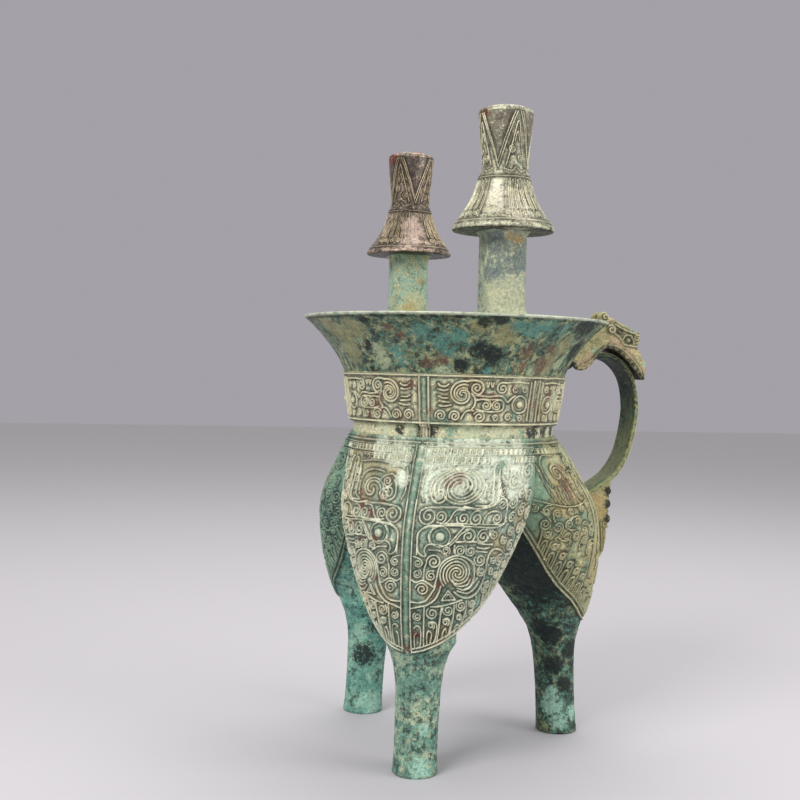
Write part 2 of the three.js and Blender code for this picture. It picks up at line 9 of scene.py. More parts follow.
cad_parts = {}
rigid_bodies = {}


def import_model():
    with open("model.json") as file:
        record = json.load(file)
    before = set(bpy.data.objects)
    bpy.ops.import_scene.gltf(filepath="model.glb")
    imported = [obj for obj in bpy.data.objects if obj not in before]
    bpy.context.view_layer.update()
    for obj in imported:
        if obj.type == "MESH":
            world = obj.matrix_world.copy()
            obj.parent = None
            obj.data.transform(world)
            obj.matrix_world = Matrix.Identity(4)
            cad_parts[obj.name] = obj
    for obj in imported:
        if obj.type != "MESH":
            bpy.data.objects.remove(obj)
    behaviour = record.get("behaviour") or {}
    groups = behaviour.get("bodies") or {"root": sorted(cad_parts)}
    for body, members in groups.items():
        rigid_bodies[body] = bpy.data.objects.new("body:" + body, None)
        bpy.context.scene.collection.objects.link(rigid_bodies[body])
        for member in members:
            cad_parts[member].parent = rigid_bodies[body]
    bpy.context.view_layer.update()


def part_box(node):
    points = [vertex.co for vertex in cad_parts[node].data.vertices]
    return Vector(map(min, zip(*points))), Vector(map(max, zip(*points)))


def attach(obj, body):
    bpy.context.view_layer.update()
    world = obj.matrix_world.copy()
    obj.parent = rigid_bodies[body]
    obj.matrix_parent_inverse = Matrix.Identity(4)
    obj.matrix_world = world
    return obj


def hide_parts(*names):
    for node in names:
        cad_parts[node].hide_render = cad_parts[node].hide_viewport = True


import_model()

# Where the vessel is seen from: a table-top view, the handle at the right and a little nearer,
# on a pale floor under soft, even studio light.

mouth_low, mouth_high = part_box("mouth_and_neck")
RIM_RADIUS = (mouth_high.y - mouth_low.y) / 2
AXIS = Vector((mouth_low.x + RIM_RADIUS, (mouth_low.y + mouth_high.y) / 2, 0))

VIEW_TURN = math.radians(14.9)
VIEW_PITCH = math.radians(1.29)
VIEW_ROLL = math.radians(1.49)
VIEW_DISTANCE = 0.55805
VIEW_ASIDE = 0.02469
VIEW_HEIGHT = 0.16823
LENS = 54.15
FILM_WIDTH = 36
AIM_HEIGHT = 0.14

right = Vector((math.cos(VIEW_TURN), -math.sin(VIEW_TURN), 0))
ahead = Vector((math.sin(VIEW_TURN), math.cos(VIEW_TURN), 0))
up = Vector((0, 0, 1))
gaze = ahead * math.cos(VIEW_PITCH) - up * math.sin(VIEW_PITCH)
crown = ahead * math.sin(VIEW_PITCH) + up * math.cos(VIEW_PITCH)
image_x = right * math.cos(VIEW_ROLL) + crown * math.sin(VIEW_ROLL)
image_y = crown * math.cos(VIEW_ROLL) - right * math.sin(VIEW_ROLL)
eye = AXIS - right * VIEW_ASIDE - ahead * VIEW_DISTANCE + up * VIEW_HEIGHT


def placed(name, data):
    """A new object in the scene."""
    made = bpy.data.objects.new(name, data)
    bpy.context.scene.collection.objects.link(made)
    return made


camera = placed("camera", bpy.data.cameras.new("camera"))
camera.matrix_world = Matrix.Translation(eye) @ Matrix((image_x, image_y, -gaze)).transposed().to_4x4()
camera.data.lens = LENS
camera.data.sensor_width = FILM_WIDTH
camera.data.clip_start = 0.01
bpy.context.scene.camera = camera
bpy.context.scene.view_settings.view_transform = "Standard"

FLOOR_SIZE = 6.0
FLOOR_COLOR = (0.5, 0.485, 0.52, 1)
BACKDROP_COLOR = (0.37, 0.355, 0.39, 1)
SKY_COLOR = (1, 0.99, 0.98, 1)
SKY_STRENGTH = 0.62
LAMP_COLOR = (1, 0.985, 0.96)

world = bpy.data.worlds.new("studio")
bpy.context.scene.world = world
world.use_nodes = True
sky = world.node_tree
sky_light = sky.nodes["Background"]
sky_light.inputs["Color"].default_value = SKY_COLOR
sky_light.inputs["Strength"].default_value = SKY_STRENGTH
sky_seen = sky.nodes.new("ShaderNodeBackground")
sky_seen.inputs["Color"].default_value = BACKDROP_COLOR
sky_rays = sky.nodes.new("ShaderNodeLightPath")
sky_mix = sky.nodes.new("ShaderNodeMixShader")
sky.links.new(sky_rays.outputs["Is Camera Ray"], sky_mix.inputs["Fac"])
sky.links.new(sky_light.outputs["Background"], sky_mix.inputs[1])
sky.links.new(sky_seen.outputs["Background"], sky_mix.inputs[2])
sky.links.new(sky_mix.outputs["Shader"], sky.nodes["World Output"].inputs["Surface"])

floor_mesh = bpy.data.meshes.new("floor")
half = FLOOR_SIZE / 2
floor_corners = [(-half, -half, 0), (half, -half, 0), (half, half, 0), (-half, half, 0)]
floor_mesh.from_pydata(floor_corners, [], [(0, 1, 2, 3)])
floor = placed("floor", floor_mesh)
floor_finish = bpy.data.materials.new("pale_floor")
floor_finish.use_nodes = True
floor_surface = floor_finish.node_tree.nodes["Principled BSDF"]
floor_surface.inputs["Base Color"].default_value = FLOOR_COLOR
floor_surface.inputs["Roughness"].default_value = 0.8
floor_surface.inputs["Specular IOR Level"].default_value = 0.2
floor_mesh.materials.append(floor_finish)


def softbox(name, place, power, size):
    """A square lamp, placed in metres to the right, away and up as the camera sees the vessel."""
    lamp = bpy.data.lights.new(name, "AREA")
    lamp.energy = power
    lamp.size = size
    lamp.color = LAMP_COLOR
    box = placed(name, lamp)
    box.location = AXIS + right * place[0] + ahead * place[1] + up * place[2]
    aim = AXIS + up * AIM_HEIGHT - box.location
    box.rotation_mode = "QUATERNION"
    box.rotation_quaternion = aim.to_track_quat("-Z", "Y")


softbox("key_softbox", (-0.55, -0.75, 0.85), 9.0, 0.5)
softbox("side_softbox", (0.85, -0.35, 0.45), 4.5, 0.6)
softbox("top_softbox", (0.1, 0.35, 1.1), 6.0, 0.7)

# Mouth and neck: cast in one with the pouches below. The neck carries a raised band of spirals
# and eyes between two plain borders, and above it the plain mouth flares out to a thin rounded lip.

SPINE_OFFSET = math.radians(-2.0)
THIRD = math.radians(120)
SHOULDER_Z = 141.0
BAND_FOOT = 47.9
BAND_TOP = 51.2
BAND_LOW_Z = 146.4
BAND_HIGH_Z = 168.2
NECK_Z = 168.5
RIM_Z = 193.3
LIP_WIDTH = 2.2
WALL = 2.2
MM = 0.001
OFF_CHART = -500.0
LEAF_GREEN = (116, 140, 112)
PALE_CRUST = (190, 194, 158)
DEEP_GREEN = (44, 66, 58)
TURQUOISE = (84, 156, 146)
RED_BROWN = (112, 62, 46)
CREAM = (216, 210, 176)
SHADOW_GREEN = (27, 34, 28)
DEEP_BLUE_GREEN = (14, 30, 29)
PALE_GREEN = (196, 204, 172)
OCHRE = (176, 156, 108)


def tone(red, green, blue):
    """A colour of the photograph, from 0 to 255, as the linear one that Blender works with."""
    parts = [value / 255 for value in (red, green, blue)]
    linear = [v / 12.92 if v <= 0.04045 else ((v + 0.055) / 1.055) ** 2.4 for v in parts]
    return (*linear, 1)


def node(tree, kind, inputs=None, **settings):
    """A node with its settings, its input values and the links into it."""
    made = tree.nodes.new(kind)
    for key, value in settings.items():
        setattr(made, key, value)
    for key, value in (inputs or {}).items():
        if isinstance(value, bpy.types.NodeSocket):
            tree.links.new(value, made.inputs[key])
        else:
            made.inputs[key].default_value = value
    return made


def mixed(tree, share, first, second):
    inputs = {0: share, 6: first, 7: second}
    return node(tree, "ShaderNodeMix", inputs, data_type="RGBA").outputs[2]


def window(tree, value, low, high, start=0.0, end=1.0):
    """Eases from start to end while a value goes from low to high."""
    inputs = {0: value, 1: low, 2: high, 3: start, 4: end}
    made = node(tree, "ShaderNodeMapRange", inputs, interpolation_type="SMOOTHSTEP")
    return made.outputs[0]


def sums(tree, operation, first, second):
    """The outcome of an arithmetic node."""
    return node(tree, "ShaderNodeMath", {0: first, 1: second}, operation=operation).outputs[0]


def cloud(tree, vector, scale, detail, rough, shift=(0, 0, 0)):
    """Cloudy noise, with a shift of its own so that no two clouds lie on one another."""
    moved = node(tree, "ShaderNodeVectorMath", {0: vector, 1: shift}, operation="ADD").outputs[0]
    inputs = {"Vector": moved, "Scale": scale, "Detail": detail, "Roughness": rough}
    return node(tree, "ShaderNodeTexNoise", inputs).outputs["Fac"]


def sockets(tree, direction, rows):
    """Named inputs or outputs of a group, each with its kind and its default value."""
    for name, kind, value in rows:
        socket = tree.interface.new_socket(name=name, in_out=direction, socket_type=kind)
        if value is not None:
            socket.default_value = value


PATCHES_PER_BLOTCH = 4.6
FINE_SCALE = 1500
# Layers of corrosion: blotches of crust on the ground colour, stains between them, fine flecks on top
corrosion = bpy.data.node_groups.new("corrosion_layers", "ShaderNodeTree")
sockets(corrosion, "INPUT", [
    ("Vector", "NodeSocketVector", None),
    ("Ground", "NodeSocketColor", tone(*LEAF_GREEN)),
    ("Crust", "NodeSocketColor", tone(*PALE_CRUST)),
    ("Stain", "NodeSocketColor", tone(*DEEP_GREEN)),
    ("Fleck", "NodeSocketColor", tone(*TURQUOISE)),
    ("Crust Amount", "NodeSocketFloat", 0.5),
    ("Stain Amount", "NodeSocketFloat", 0.4),
    ("Fleck Amount", "NodeSocketFloat", 0.4),
    ("Blotch Scale", "NodeSocketFloat", 60.0),
])
sockets(corrosion, "OUTPUT", [
    ("Color", "NodeSocketColor", None),
    ("Grain", "NodeSocketFloat", None),
    ("Crust Mask", "NodeSocketFloat", None),
])
layers = node(corrosion, "NodeGroupInput").outputs
broad = cloud(corrosion, layers["Vector"], layers["Blotch Scale"], 5, 0.62)
patchy_scale = sums(corrosion, "MULTIPLY", layers["Blotch Scale"], PATCHES_PER_BLOTCH)
patchy = cloud(corrosion, layers["Vector"], patchy_scale, 5, 0.68, (0.31, 0.17, 0.05))
fine = cloud(corrosion, layers["Vector"], FINE_SCALE, 3, 0.6, (0.7, 0.2, 0.9))
spread = sums(corrosion, "MULTIPLY", sums(corrosion, "ADD", broad, patchy), 0.5)
crust_edge = sums(corrosion, "SUBTRACT", 0.72, sums(corrosion, "MULTIPLY", layers["Crust Amount"], 0.44))
crust_mask = window(corrosion, sums(corrosion, "SUBTRACT", spread, crust_edge), -0.055, 0.06)
stain_scale = sums(corrosion, "MULTIPLY", patchy_scale, 0.7)
stain_cloud = cloud(corrosion, layers["Vector"], stain_scale, 6, 0.7, (0.9, 0.4, 0.2))
stain_edge = sums(corrosion, "SUBTRACT", 0.72, sums(corrosion, "MULTIPLY", layers["Stain Amount"], 0.4))
stain_mask = window(corrosion, sums(corrosion, "SUBTRACT", stain_cloud, stain_edge), -0.05, 0.07)
fleck_scale = sums(corrosion, "MULTIPLY", patchy_scale, 1.3)
fleck_cloud = cloud(corrosion, layers["Vector"], fleck_scale, 6, 0.72, (0.1, 0.8, 0.6))
fleck_edge = sums(corrosion, "SUBTRACT", 0.74, sums(corrosion, "MULTIPLY", layers["Fleck Amount"], 0.4))
fleck_mask = window(corrosion, sums(corrosion, "SUBTRACT", fleck_cloud, fleck_edge), -0.04, 0.06)
crusted = mixed(corrosion, crust_mask, layers["Ground"], layers["Crust"])
stained = mixed(corrosion, sums(corrosion, "MULTIPLY", stain_mask, 0.85), crusted, layers["Stain"])
flecked = mixed(corrosion, sums(corrosion, "MULTIPLY", fleck_mask, 0.8), stained, layers["Fleck"])
speckle = window(corrosion, fine, 0.3, 0.7, 0.62, 1.3)
speckled = node(corrosion, "ShaderNodeVectorMath", {0: flecked, 1: speckle},
                operation="MULTIPLY").outputs[0]
grain = sums(corrosion, "ADD", sums(corrosion, "MULTIPLY", patchy, 0.6),
             sums(corrosion, "MULTIPLY", fine, 0.4))
node(corrosion, "NodeGroupOutput", {"Color": speckled, "Grain": grain, "Crust Mask": crust_mask})

PATCH_SCALE = 520
RUB_SCALE = 320
MOTTLE_SCALE = 1100
PATCH_COLORS = {"Rust": RED_BROWN, "Teal": TURQUOISE, "Deep": DEEP_BLUE_GREEN, "Pale": PALE_GREEN,
                "Ochre": OCHRE}
# Wear on cast ornament: ridges rubbed pale, dark corrosion left in the hollows beside them, painted
# darker as their shade too
wear = bpy.data.node_groups.new("ornament_wear_and_shade", "ShaderNodeTree")
sockets(wear, "INPUT", [
    ("Color", "NodeSocketColor", None),
    ("Vector", "NodeSocketVector", None),
    ("Ridge Color", "NodeSocketColor", tone(*CREAM)),
    ("Hollow Color", "NodeSocketColor", tone(*SHADOW_GREEN)),
    *[(label + " Color", "NodeSocketColor", tone(*colour)) for label, colour in PATCH_COLORS.items()],
    *[(label, "NodeSocketFloat", 0.0) for label in ("Relief", "Hollow", *PATCH_COLORS)],
    ("Rub", "NodeSocketFloat", 0.8),
    ("Hollow Patina And Shade", "NodeSocketFloat", 0.8),
])
sockets(wear, "OUTPUT", [("Color", "NodeSocketColor", None), ("Dark", "NodeSocketFloat", None)])
worn = node(wear, "NodeGroupInput").outputs
patch_cloud = cloud(wear, worn["Vector"], PATCH_SCALE, 6, 0.76, (0.4, 0.1, 0.7))
rub_cloud = cloud(wear, worn["Vector"], RUB_SCALE, 4, 0.6, (0.2, 0.5, 0.3))
mottle_cloud = cloud(wear, worn["Vector"], MOTTLE_SCALE, 3, 0.6, (0.6, 0.3, 0.1))
mottle = window(wear, mottle_cloud, 0.3, 0.7, 0.66, 1.22)
unevenness = window(wear, patch_cloud, 0.28, 0.72, 0.2, 1.8)


def ragged(strength, edge):
    """A patch with broken edges: solid where it is strong and flecks where it is weak."""
    return window(wear, sums(wear, "MULTIPLY", strength, unevenness), edge - 0.05, edge + 0.45)


def mottled(colour):
    """A colour that is uneven from grain to grain."""
    return node(wear, "ShaderNodeVectorMath", {0: colour, 1: mottle}, operation="MULTIPLY").outputs[0]


# Patches from the lowest to the topmost, each with the edge of its mask and how well its colour covers
PATCHES = [("Ochre", 0.2, 0.6), ("Deep", 0.25, 0.94), ("Pale", 0.3, 0.75), ("Teal", 0.45, 0.8),
           ("Rust", 0.5, 0.85)]
patched = worn["Color"]
patch_masks = {}
for label, edge, cover in PATCHES:
    patch_masks[label] = ragged(worn[label], edge)
    covered = sums(wear, "MULTIPLY", patch_masks[label], cover)
    patched = mixed(wear, covered, patched, mottled(worn[label + " Color"]))
unfilled_share = sums(wear, "SUBTRACT", 1.0, sums(wear, "MULTIPLY", patch_masks["Pale"], 0.62))
# The hollows beside the ridges are darkened: partly real patina, partly painted shade
dark_share = sums(wear, "MULTIPLY", sums(wear, "MULTIPLY", worn["Hollow"], worn["Hollow Patina And Shade"]), unfilled_share)
dark_broken = sums(wear, "MULTIPLY", dark_share, window(wear, rub_cloud, 0.3, 0.55, 0.6, 1.0))
rusty_share = sums(wear, "MULTIPLY", patch_masks["Rust"], 0.6)
hollow_tint = mixed(wear, rusty_share, worn["Hollow Color"], worn["Rust Color"])
darkened = mixed(wear, dark_broken, patched, hollow_tint)
rub_share = sums(wear, "MULTIPLY", worn["Relief"], worn["Rub"])
rub_broken = sums(wear, "MULTIPLY", rub_share, window(wear, rub_cloud, 0.32, 0.6, 0.4, 1.0))
rubbed = mixed(wear, rub_broken, darkened, worn["Ridge Color"])
node(wear, "NodeGroupOutput", {"Color": rubbed, "Dark": dark_broken})


def bronze(name, colours, amounts=(0.5, 0.4, 0.4), blotch=60.0, ridge=CREAM, hollow=SHADOW_GREEN,
           rub=0.85, hollow_patina_and_shade=0.85, rust=RED_BROWN, teal=TURQUOISE, pale=PALE_GREEN, rough=(0.5, 0.85),
           metallic=0.15, bump=0.35, ochre=OCHRE, plain=None):
    """A corroded bronze finish: ground, crust, stain and fleck colours, then wear and painted shade on
    the ornament.
    Where the attribute plain is set, plain tells the corrosion, by the same colours and amounts."""
    finish = bpy.data.materials.new(name)
    finish.use_nodes = True
    tree = finish.node_tree
    place = node(tree, "ShaderNodeTexCoord").outputs["Object"]

    def corroded(colours, amounts, blotch):
        base = node(tree, "ShaderNodeGroup", node_tree=corrosion)
        tree.links.new(place, base.inputs["Vector"])
        for socket, colour in zip(("Ground", "Crust", "Stain", "Fleck"), colours):
            base.inputs[socket].default_value = tone(*colour)
        for socket, amount in zip(("Crust Amount", "Stain Amount", "Fleck Amount"), amounts):
            base.inputs[socket].default_value = amount
        base.inputs["Blotch Scale"].default_value = blotch
        return base

    base = corroded(colours, amounts, blotch)
    crusted_color = base.outputs["Color"]
    if plain:
        plain_mask = node(tree, "ShaderNodeAttribute", attribute_name="plain").outputs["Fac"]
        crusted_color = mixed(tree, plain_mask, crusted_color, corroded(*plain).outputs["Color"])
    rubs = node(tree, "ShaderNodeGroup", node_tree=wear)
    tree.links.new(crusted_color, rubs.inputs["Color"])
    tree.links.new(place, rubs.inputs["Vector"])
    tints = {"Ridge": ridge, "Hollow": hollow, "Rust": rust, "Teal": teal, "Pale": pale, "Ochre": ochre}
    for socket, colour in tints.items():
        rubs.inputs[socket + " Color"].default_value = tone(*colour)
    for socket in ("Relief", "Hollow", "Rust", "Teal", "Deep", "Pale", "Ochre"):
        mask = node(tree, "ShaderNodeAttribute", attribute_name=socket.lower()).outputs["Fac"]
        tree.links.new(mask, rubs.inputs[socket])
    rubs.inputs["Rub"].default_value = rub
    rubs.inputs["Hollow Patina And Shade"].default_value = hollow_patina_and_shade
    surface = tree.nodes["Principled BSDF"]
    surface.inputs["Metallic"].default_value = metallic
    tree.links.new(rubs.outputs["Color"], surface.inputs["Base Color"])
    roughness = window(tree, base.outputs["Grain"], 0.3, 0.65, *rough)
    tree.links.new(roughness, surface.inputs["Roughness"])
    rise = {"Height": base.outputs["Grain"], "Strength": bump, "Distance": 0.0006}
    relief_bump = node(tree, "ShaderNodeBump", rise)
    tree.links.new(relief_bump.outputs["Normal"], surface.inputs["Normal"])
    return finish


# Cast relief: raises ridges over lines and domes over bosses, both drawn flat in the chart of a skin
cast_relief = bpy.data.node_groups.new("cast_relief", "GeometryNodeTree")
cast_relief.is_modifier = True
sockets(cast_relief, "INPUT", [
    ("Geometry", "NodeSocketGeometry", None),
    ("Lines", "NodeSocketObject", None),
    ("Bosses", "NodeSocketObject", None),
    ("Finish", "NodeSocketMaterial", None),
    ("Ridge Height", "NodeSocketFloat", 0.6),
    ("Boss Height", "NodeSocketFloat", 0.75),
    ("Hollow Depth", "NodeSocketFloat", 0.15),
    ("Wander", "NodeSocketFloat", 0.5),
    ("Casting Waves", "NodeSocketFloat", 0.25),
    ("Pitting", "NodeSocketFloat", 0.06),
])
sockets(cast_relief, "OUTPUT", [("Geometry", "NodeSocketGeometry", None)])
given = node(cast_relief, "NodeGroupInput").outputs
where = node(cast_relief, "GeometryNodeInputPosition").outputs[0]


def attribute(name, data_type):
    """An attribute of the skin or the drawing that the tree is looking at."""
    inputs = {"Name": name}
    return node(cast_relief, "GeometryNodeInputNamedAttribute", inputs, data_type=data_type).outputs[0]


def vectors(operation, first, second):
    """The outcome of a vector node, whose second input is a number when it scales."""
    inputs = {0: first, "Scale" if operation == "SCALE" else 1: second}
    return node(cast_relief, "ShaderNodeVectorMath", inputs, operation=operation).outputs[0]


def waviness(scale, detail, output):
    """Noise over the skin."""
    inputs = {"Vector": where, "Scale": scale, "Detail": detail}
    return node(cast_relief, "ShaderNodeTexNoise", inputs).outputs[output]


SWAY_SCALE = 160
WAVE_SCALE = 70
PIT_SCALE = 700
sway = vectors("SUBTRACT", waviness(SWAY_SCALE, 2, "Color"), (0.5, 0.5, 0.5))
sway = vectors("SCALE", sway, given["Wander"])
drawn_at = vectors("ADD", attribute("chart", "FLOAT_VECTOR"), sway)
drawn_at = vectors("MULTIPLY", drawn_at, (1, 1, 0))


def distance_to(which, element):
    """Distance from the chart place to a drawing, and the half width stored at its nearest point."""
    drawing = node(cast_relief, "GeometryNodeObjectInfo", {"Object": given[which]}).outputs["Geometry"]
    inputs = {"Geometry": drawing, "Sample Position": drawn_at}
    near = node(cast_relief, "GeometryNodeProximity", inputs, target_element=element)
    nearest = node(cast_relief, "GeometryNodeSampleNearest", inputs, domain="POINT").outputs["Index"]
    picked = {"Geometry": drawing, "Value": attribute("half_width", "FLOAT"), "Index": nearest}
    half_width = node(cast_relief, "GeometryNodeSampleIndex", picked, data_type="FLOAT", domain="POINT")
    return near.outputs["Distance"], half_width.outputs[0]


line_distance, line_half = distance_to("Lines", "EDGES")
ridge = window(cast_relief, sums(cast_relief, "DIVIDE", line_distance, line_half), 0.25, 1.1, 1.0, 0.0)
boss_distance, boss_radius = distance_to("Bosses", "POINTS")
boss_share = sums(cast_relief, "DIVIDE", boss_distance, boss_radius)
boss_flat = sums(cast_relief, "MINIMUM", boss_share, 1.0)
boss_square = sums(cast_relief, "MULTIPLY", boss_flat, boss_flat)
boss_rise = sums(cast_relief, "SQRT", sums(cast_relief, "SUBTRACT", 1.0, boss_square), 0.0)
boss_rim = window(cast_relief, boss_share, 1.0, 1.7, 1.0, 0.0)
boss_mask = window(cast_relief, boss_share, 0.75, 1.05, 1.0, 0.0)
beside = window(cast_relief, sums(cast_relief, "SUBTRACT", line_distance, line_half), 0.0, 1.7, 1.0, 0.0)
hollow = sums(cast_relief, "MAXIMUM", beside, boss_rim)
hollow = sums(cast_relief, "MULTIPLY", hollow, sums(cast_relief, "SUBTRACT", 1.0, ridge))
hollow = sums(cast_relief, "MULTIPLY", hollow, sums(cast_relief, "SUBTRACT", 1.0, boss_mask))
boss_height = sums(cast_relief, "MULTIPLY", boss_rise, boss_radius)
boss_height = sums(cast_relief, "MULTIPLY", boss_height, given["Boss Height"])
ridge_height = sums(cast_relief, "MULTIPLY", ridge, given["Ridge Height"])
waves = sums(cast_relief, "SUBTRACT", waviness(WAVE_SCALE, 3, "Fac"), 0.5)
waves = sums(cast_relief, "MULTIPLY", waves, given["Casting Waves"])
pits = sums(cast_relief, "SUBTRACT", waviness(PIT_SCALE, 2, "Fac"), 0.5)
pits = sums(cast_relief, "MULTIPLY", pits, given["Pitting"])
raised = sums(cast_relief, "MAXIMUM", ridge_height, boss_height)
hollow_depth = sums(cast_relief, "MULTIPLY", hollow, given["Hollow Depth"])
raised = sums(cast_relief, "SUBTRACT", raised, hollow_depth)
raised = sums(cast_relief, "ADD", sums(cast_relief, "ADD", raised, waves), pits)
facing = node(cast_relief, "GeometryNodeInputNormal").outputs["Normal"]
lift = vectors("SCALE", facing, sums(cast_relief, "MULTIPLY", raised, MM))
relief_mask = sums(cast_relief, "MAXIMUM", ridge, sums(cast_relief, "MULTIPLY", boss_mask, 0.55))
stored = given["Geometry"]
for label, mask in (("relief", relief_mask), ("hollow", hollow)):
    inputs = {"Geometry": stored, "Name": label, "Value": mask}
    kept = node(cast_relief, "GeometryNodeStoreNamedAttribute", inputs, data_type="FLOAT", domain="POINT")
    stored = kept.outputs[0]
moved = node(cast_relief, "GeometryNodeSetPosition", {"Geometry": stored, "Offset": lift}).outputs[0]
real = node(cast_relief, "GeometryNodeRealizeInstances", {"Geometry": moved}).outputs[0]
dressed = {"Geometry": real, "Material": given["Finish"]}
painted = node(cast_relief, "GeometryNodeSetMaterial", dressed).outputs[0]
node(cast_relief, "NodeGroupOutput", {"Geometry": painted})


def drawing(name, strokes, bosses=False):
    """Strokes in chart millimetres, each a list of points with a half width, as edges for the relief."""
    corners, edges, widths = [], [], []
    for points, half_width in strokes:
        first = len(corners)
        corners += [(float(x), float(y), 0.0) for x, y in points]
        widths += [half_width] * len(points)
        if not bosses:
            edges += [(first + i, first + i + 1) for i in range(len(points) - 1)]
    mesh = bpy.data.meshes.new(name)
    mesh.from_pydata(corners, edges, [])
    mesh.attributes.new("half_width", "FLOAT", "POINT").data.foreach_set("value", widths)
    return placed(name, mesh)


def spiral(x, z, radius, start, turns, end=0.45):
    """A spiral that runs in from its outer radius: start angle in degrees, turns positive leftward."""
    share = np.linspace(0, 1, int(abs(turns) * 28) + 3)
    angle = math.radians(start) + share * turns * 2 * math.pi
    size = radius + (end - radius) * share
    return np.stack([x + size * np.cos(angle), z + size * np.sin(angle)], 1)


def flowing(*points):
    """A smooth line through the given points, in steps of about half a millimetre."""
    knots = np.array([points[0], *points, points[-1]], float)
    line = []
    for a, b, c, d in zip(knots, knots[1:], knots[2:], knots[3:]):
        steps = max(2, int(np.hypot(*(c - b)) / 0.5))
        for t in np.linspace(0, 1, steps, endpoint=False):
            bend = (2 * a - 5 * b + 4 * c - d) * t**2
            twist = (3 * b - a - 3 * c + d) * t**3
            line.append(0.5 * (2 * b + (c - a) * t + bend + twist))
    line.append(knots[-1])
    return np.array(line)


def angles_round(columns):
    """Even angles once round the axis."""
    return np.linspace(0, 2 * math.pi, columns, endpoint=False)


def turned(profile, columns, middle_x=0, middle_y=0):
    """Rows of points turned about an upright line, from a profile of radius and height."""
    angles = angles_round(columns)
    x = middle_x + profile[:, :1] * np.cos(angles)
    y = middle_y + profile[:, :1] * np.sin(angles)
    return np.stack([x, y, np.repeat(profile[:, 1:], columns, axis=1)], -1)


def skin(name, points, charted=None, masks=None, pierced=False):
    """A skin from rows of millimetre points about the vessel's axis, outside facing out. The last row
    joins the first where the piece is pierced, and else each end is closed with a pole."""
    rows, columns = points.shape[:2]
    index = np.arange(rows * columns).reshape(rows, columns)
    beside = np.roll(index, -1, axis=1)
    corners = points.reshape(-1, 3) * MM + np.array(AXIS)
    if pierced:
        quads = np.stack([index, beside, np.roll(beside, -1, axis=0), np.roll(index, -1, axis=0)], -1)
        faces = quads.reshape(-1, 4).tolist()
    else:
        quads = np.stack([index[:-1], beside[:-1], beside[1:], index[1:]], -1)
        pole = len(corners)
        faces = quads.reshape(-1, 4).tolist()
        faces += [(b, a, pole) for a, b in zip(index[0].tolist(), beside[0].tolist())]
        faces += [(a, b, pole + 1) for a, b in zip(index[-1].tolist(), beside[-1].tolist())]
        corners = np.vstack([corners, [corners[index[0]].mean(axis=0), corners[index[-1]].mean(axis=0)]])
    mesh = bpy.data.meshes.new(name)
    mesh.from_pydata(corners.tolist(), [], faces)
    place = np.full((len(corners), 3), OFF_CHART)
    place[:, 2] = 0
    if charted is not None:
        place[:rows * columns, :2] = charted.reshape(-1, 2)
    mesh.attributes.new("chart", "FLOAT_VECTOR", "POINT").data.foreach_set("vector", place.ravel())
    for label, strength in (masks or {}).items():
        values = np.zeros(len(corners))
        values[:strength.size] = strength.ravel()
        mesh.attributes.new(label, "FLOAT", "POINT").data.foreach_set("value", values)
    mesh.polygons.foreach_set("use_smooth", [True] * len(mesh.polygons))
    return mesh


def dabs(places, spots):
    """How near each place is to a list of spots, each given as a place and a radius in millimetres."""
    strength = np.zeros(places.shape[:-1])
    for *middle, radius in spots:
        reach = np.linalg.norm(places - np.array(middle), axis=-1) / radius
        strength = np.maximum(strength, np.clip(1.25 - reach, 0, 1))
    return strength


# Stand-ins, far off every chart, for a piece without lines or bosses
no_lines = drawing("no_lines", [([(-800, -800), (-801, -800)], 0.5)])
no_bosses = drawing("no_bosses", [([(-800, -800)], 1.0)], bosses=True)


def applied(piece):
    """The mesh of an object as its modifiers make it, which are taken off."""
    evaluated = piece.evaluated_get(bpy.context.evaluated_depsgraph_get())
    plain = bpy.data.meshes.new_from_object(evaluated)
    piece.modifiers.clear()
    return plain


def cast(name, mesh, finish, lines=None, bosses=None, **sizes):
    """Raises the relief on a skin and returns it as a plain mesh object."""
    made = placed(name, mesh)
    modifier = made.modifiers.new("relief", "NODES")
    modifier.node_group = cast_relief
    values = {"Lines": lines or no_lines, "Bosses": bosses or no_bosses, "Finish": finish}
    values.update({key.replace("_", " ").title(): value for key, value in sizes.items()})
    for item in cast_relief.interface.items_tree:
        if item.in_out == "INPUT" and item.name in values:
            modifier[item.identifier] = values[item.name]
    made.data = applied(made)
    made.data.name = name
    return made


def crisp(piece, angle=65):
    """Smooth shading, but for edges that turn by more than the angle."""
    piece.data.polygons.foreach_set("use_smooth", [True] * len(piece.data.polygons))
    piece.data.set_sharp_from_angle(angle=math.radians(angle))


def joined_to(piece, slot, *nodes):
    """Fixes a piece to the vessel, in place of its nodes. The slot is not used."""
    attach(piece, "root")
    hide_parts(*nodes)


def folded(azimuth):
    """Angle to the nearest spine, as a share of the vessel that repeats and mirrors six times."""
    turned = (azimuth - SPINE_OFFSET + THIRD / 2) % THIRD - THIRD / 2
    return np.abs(turned)


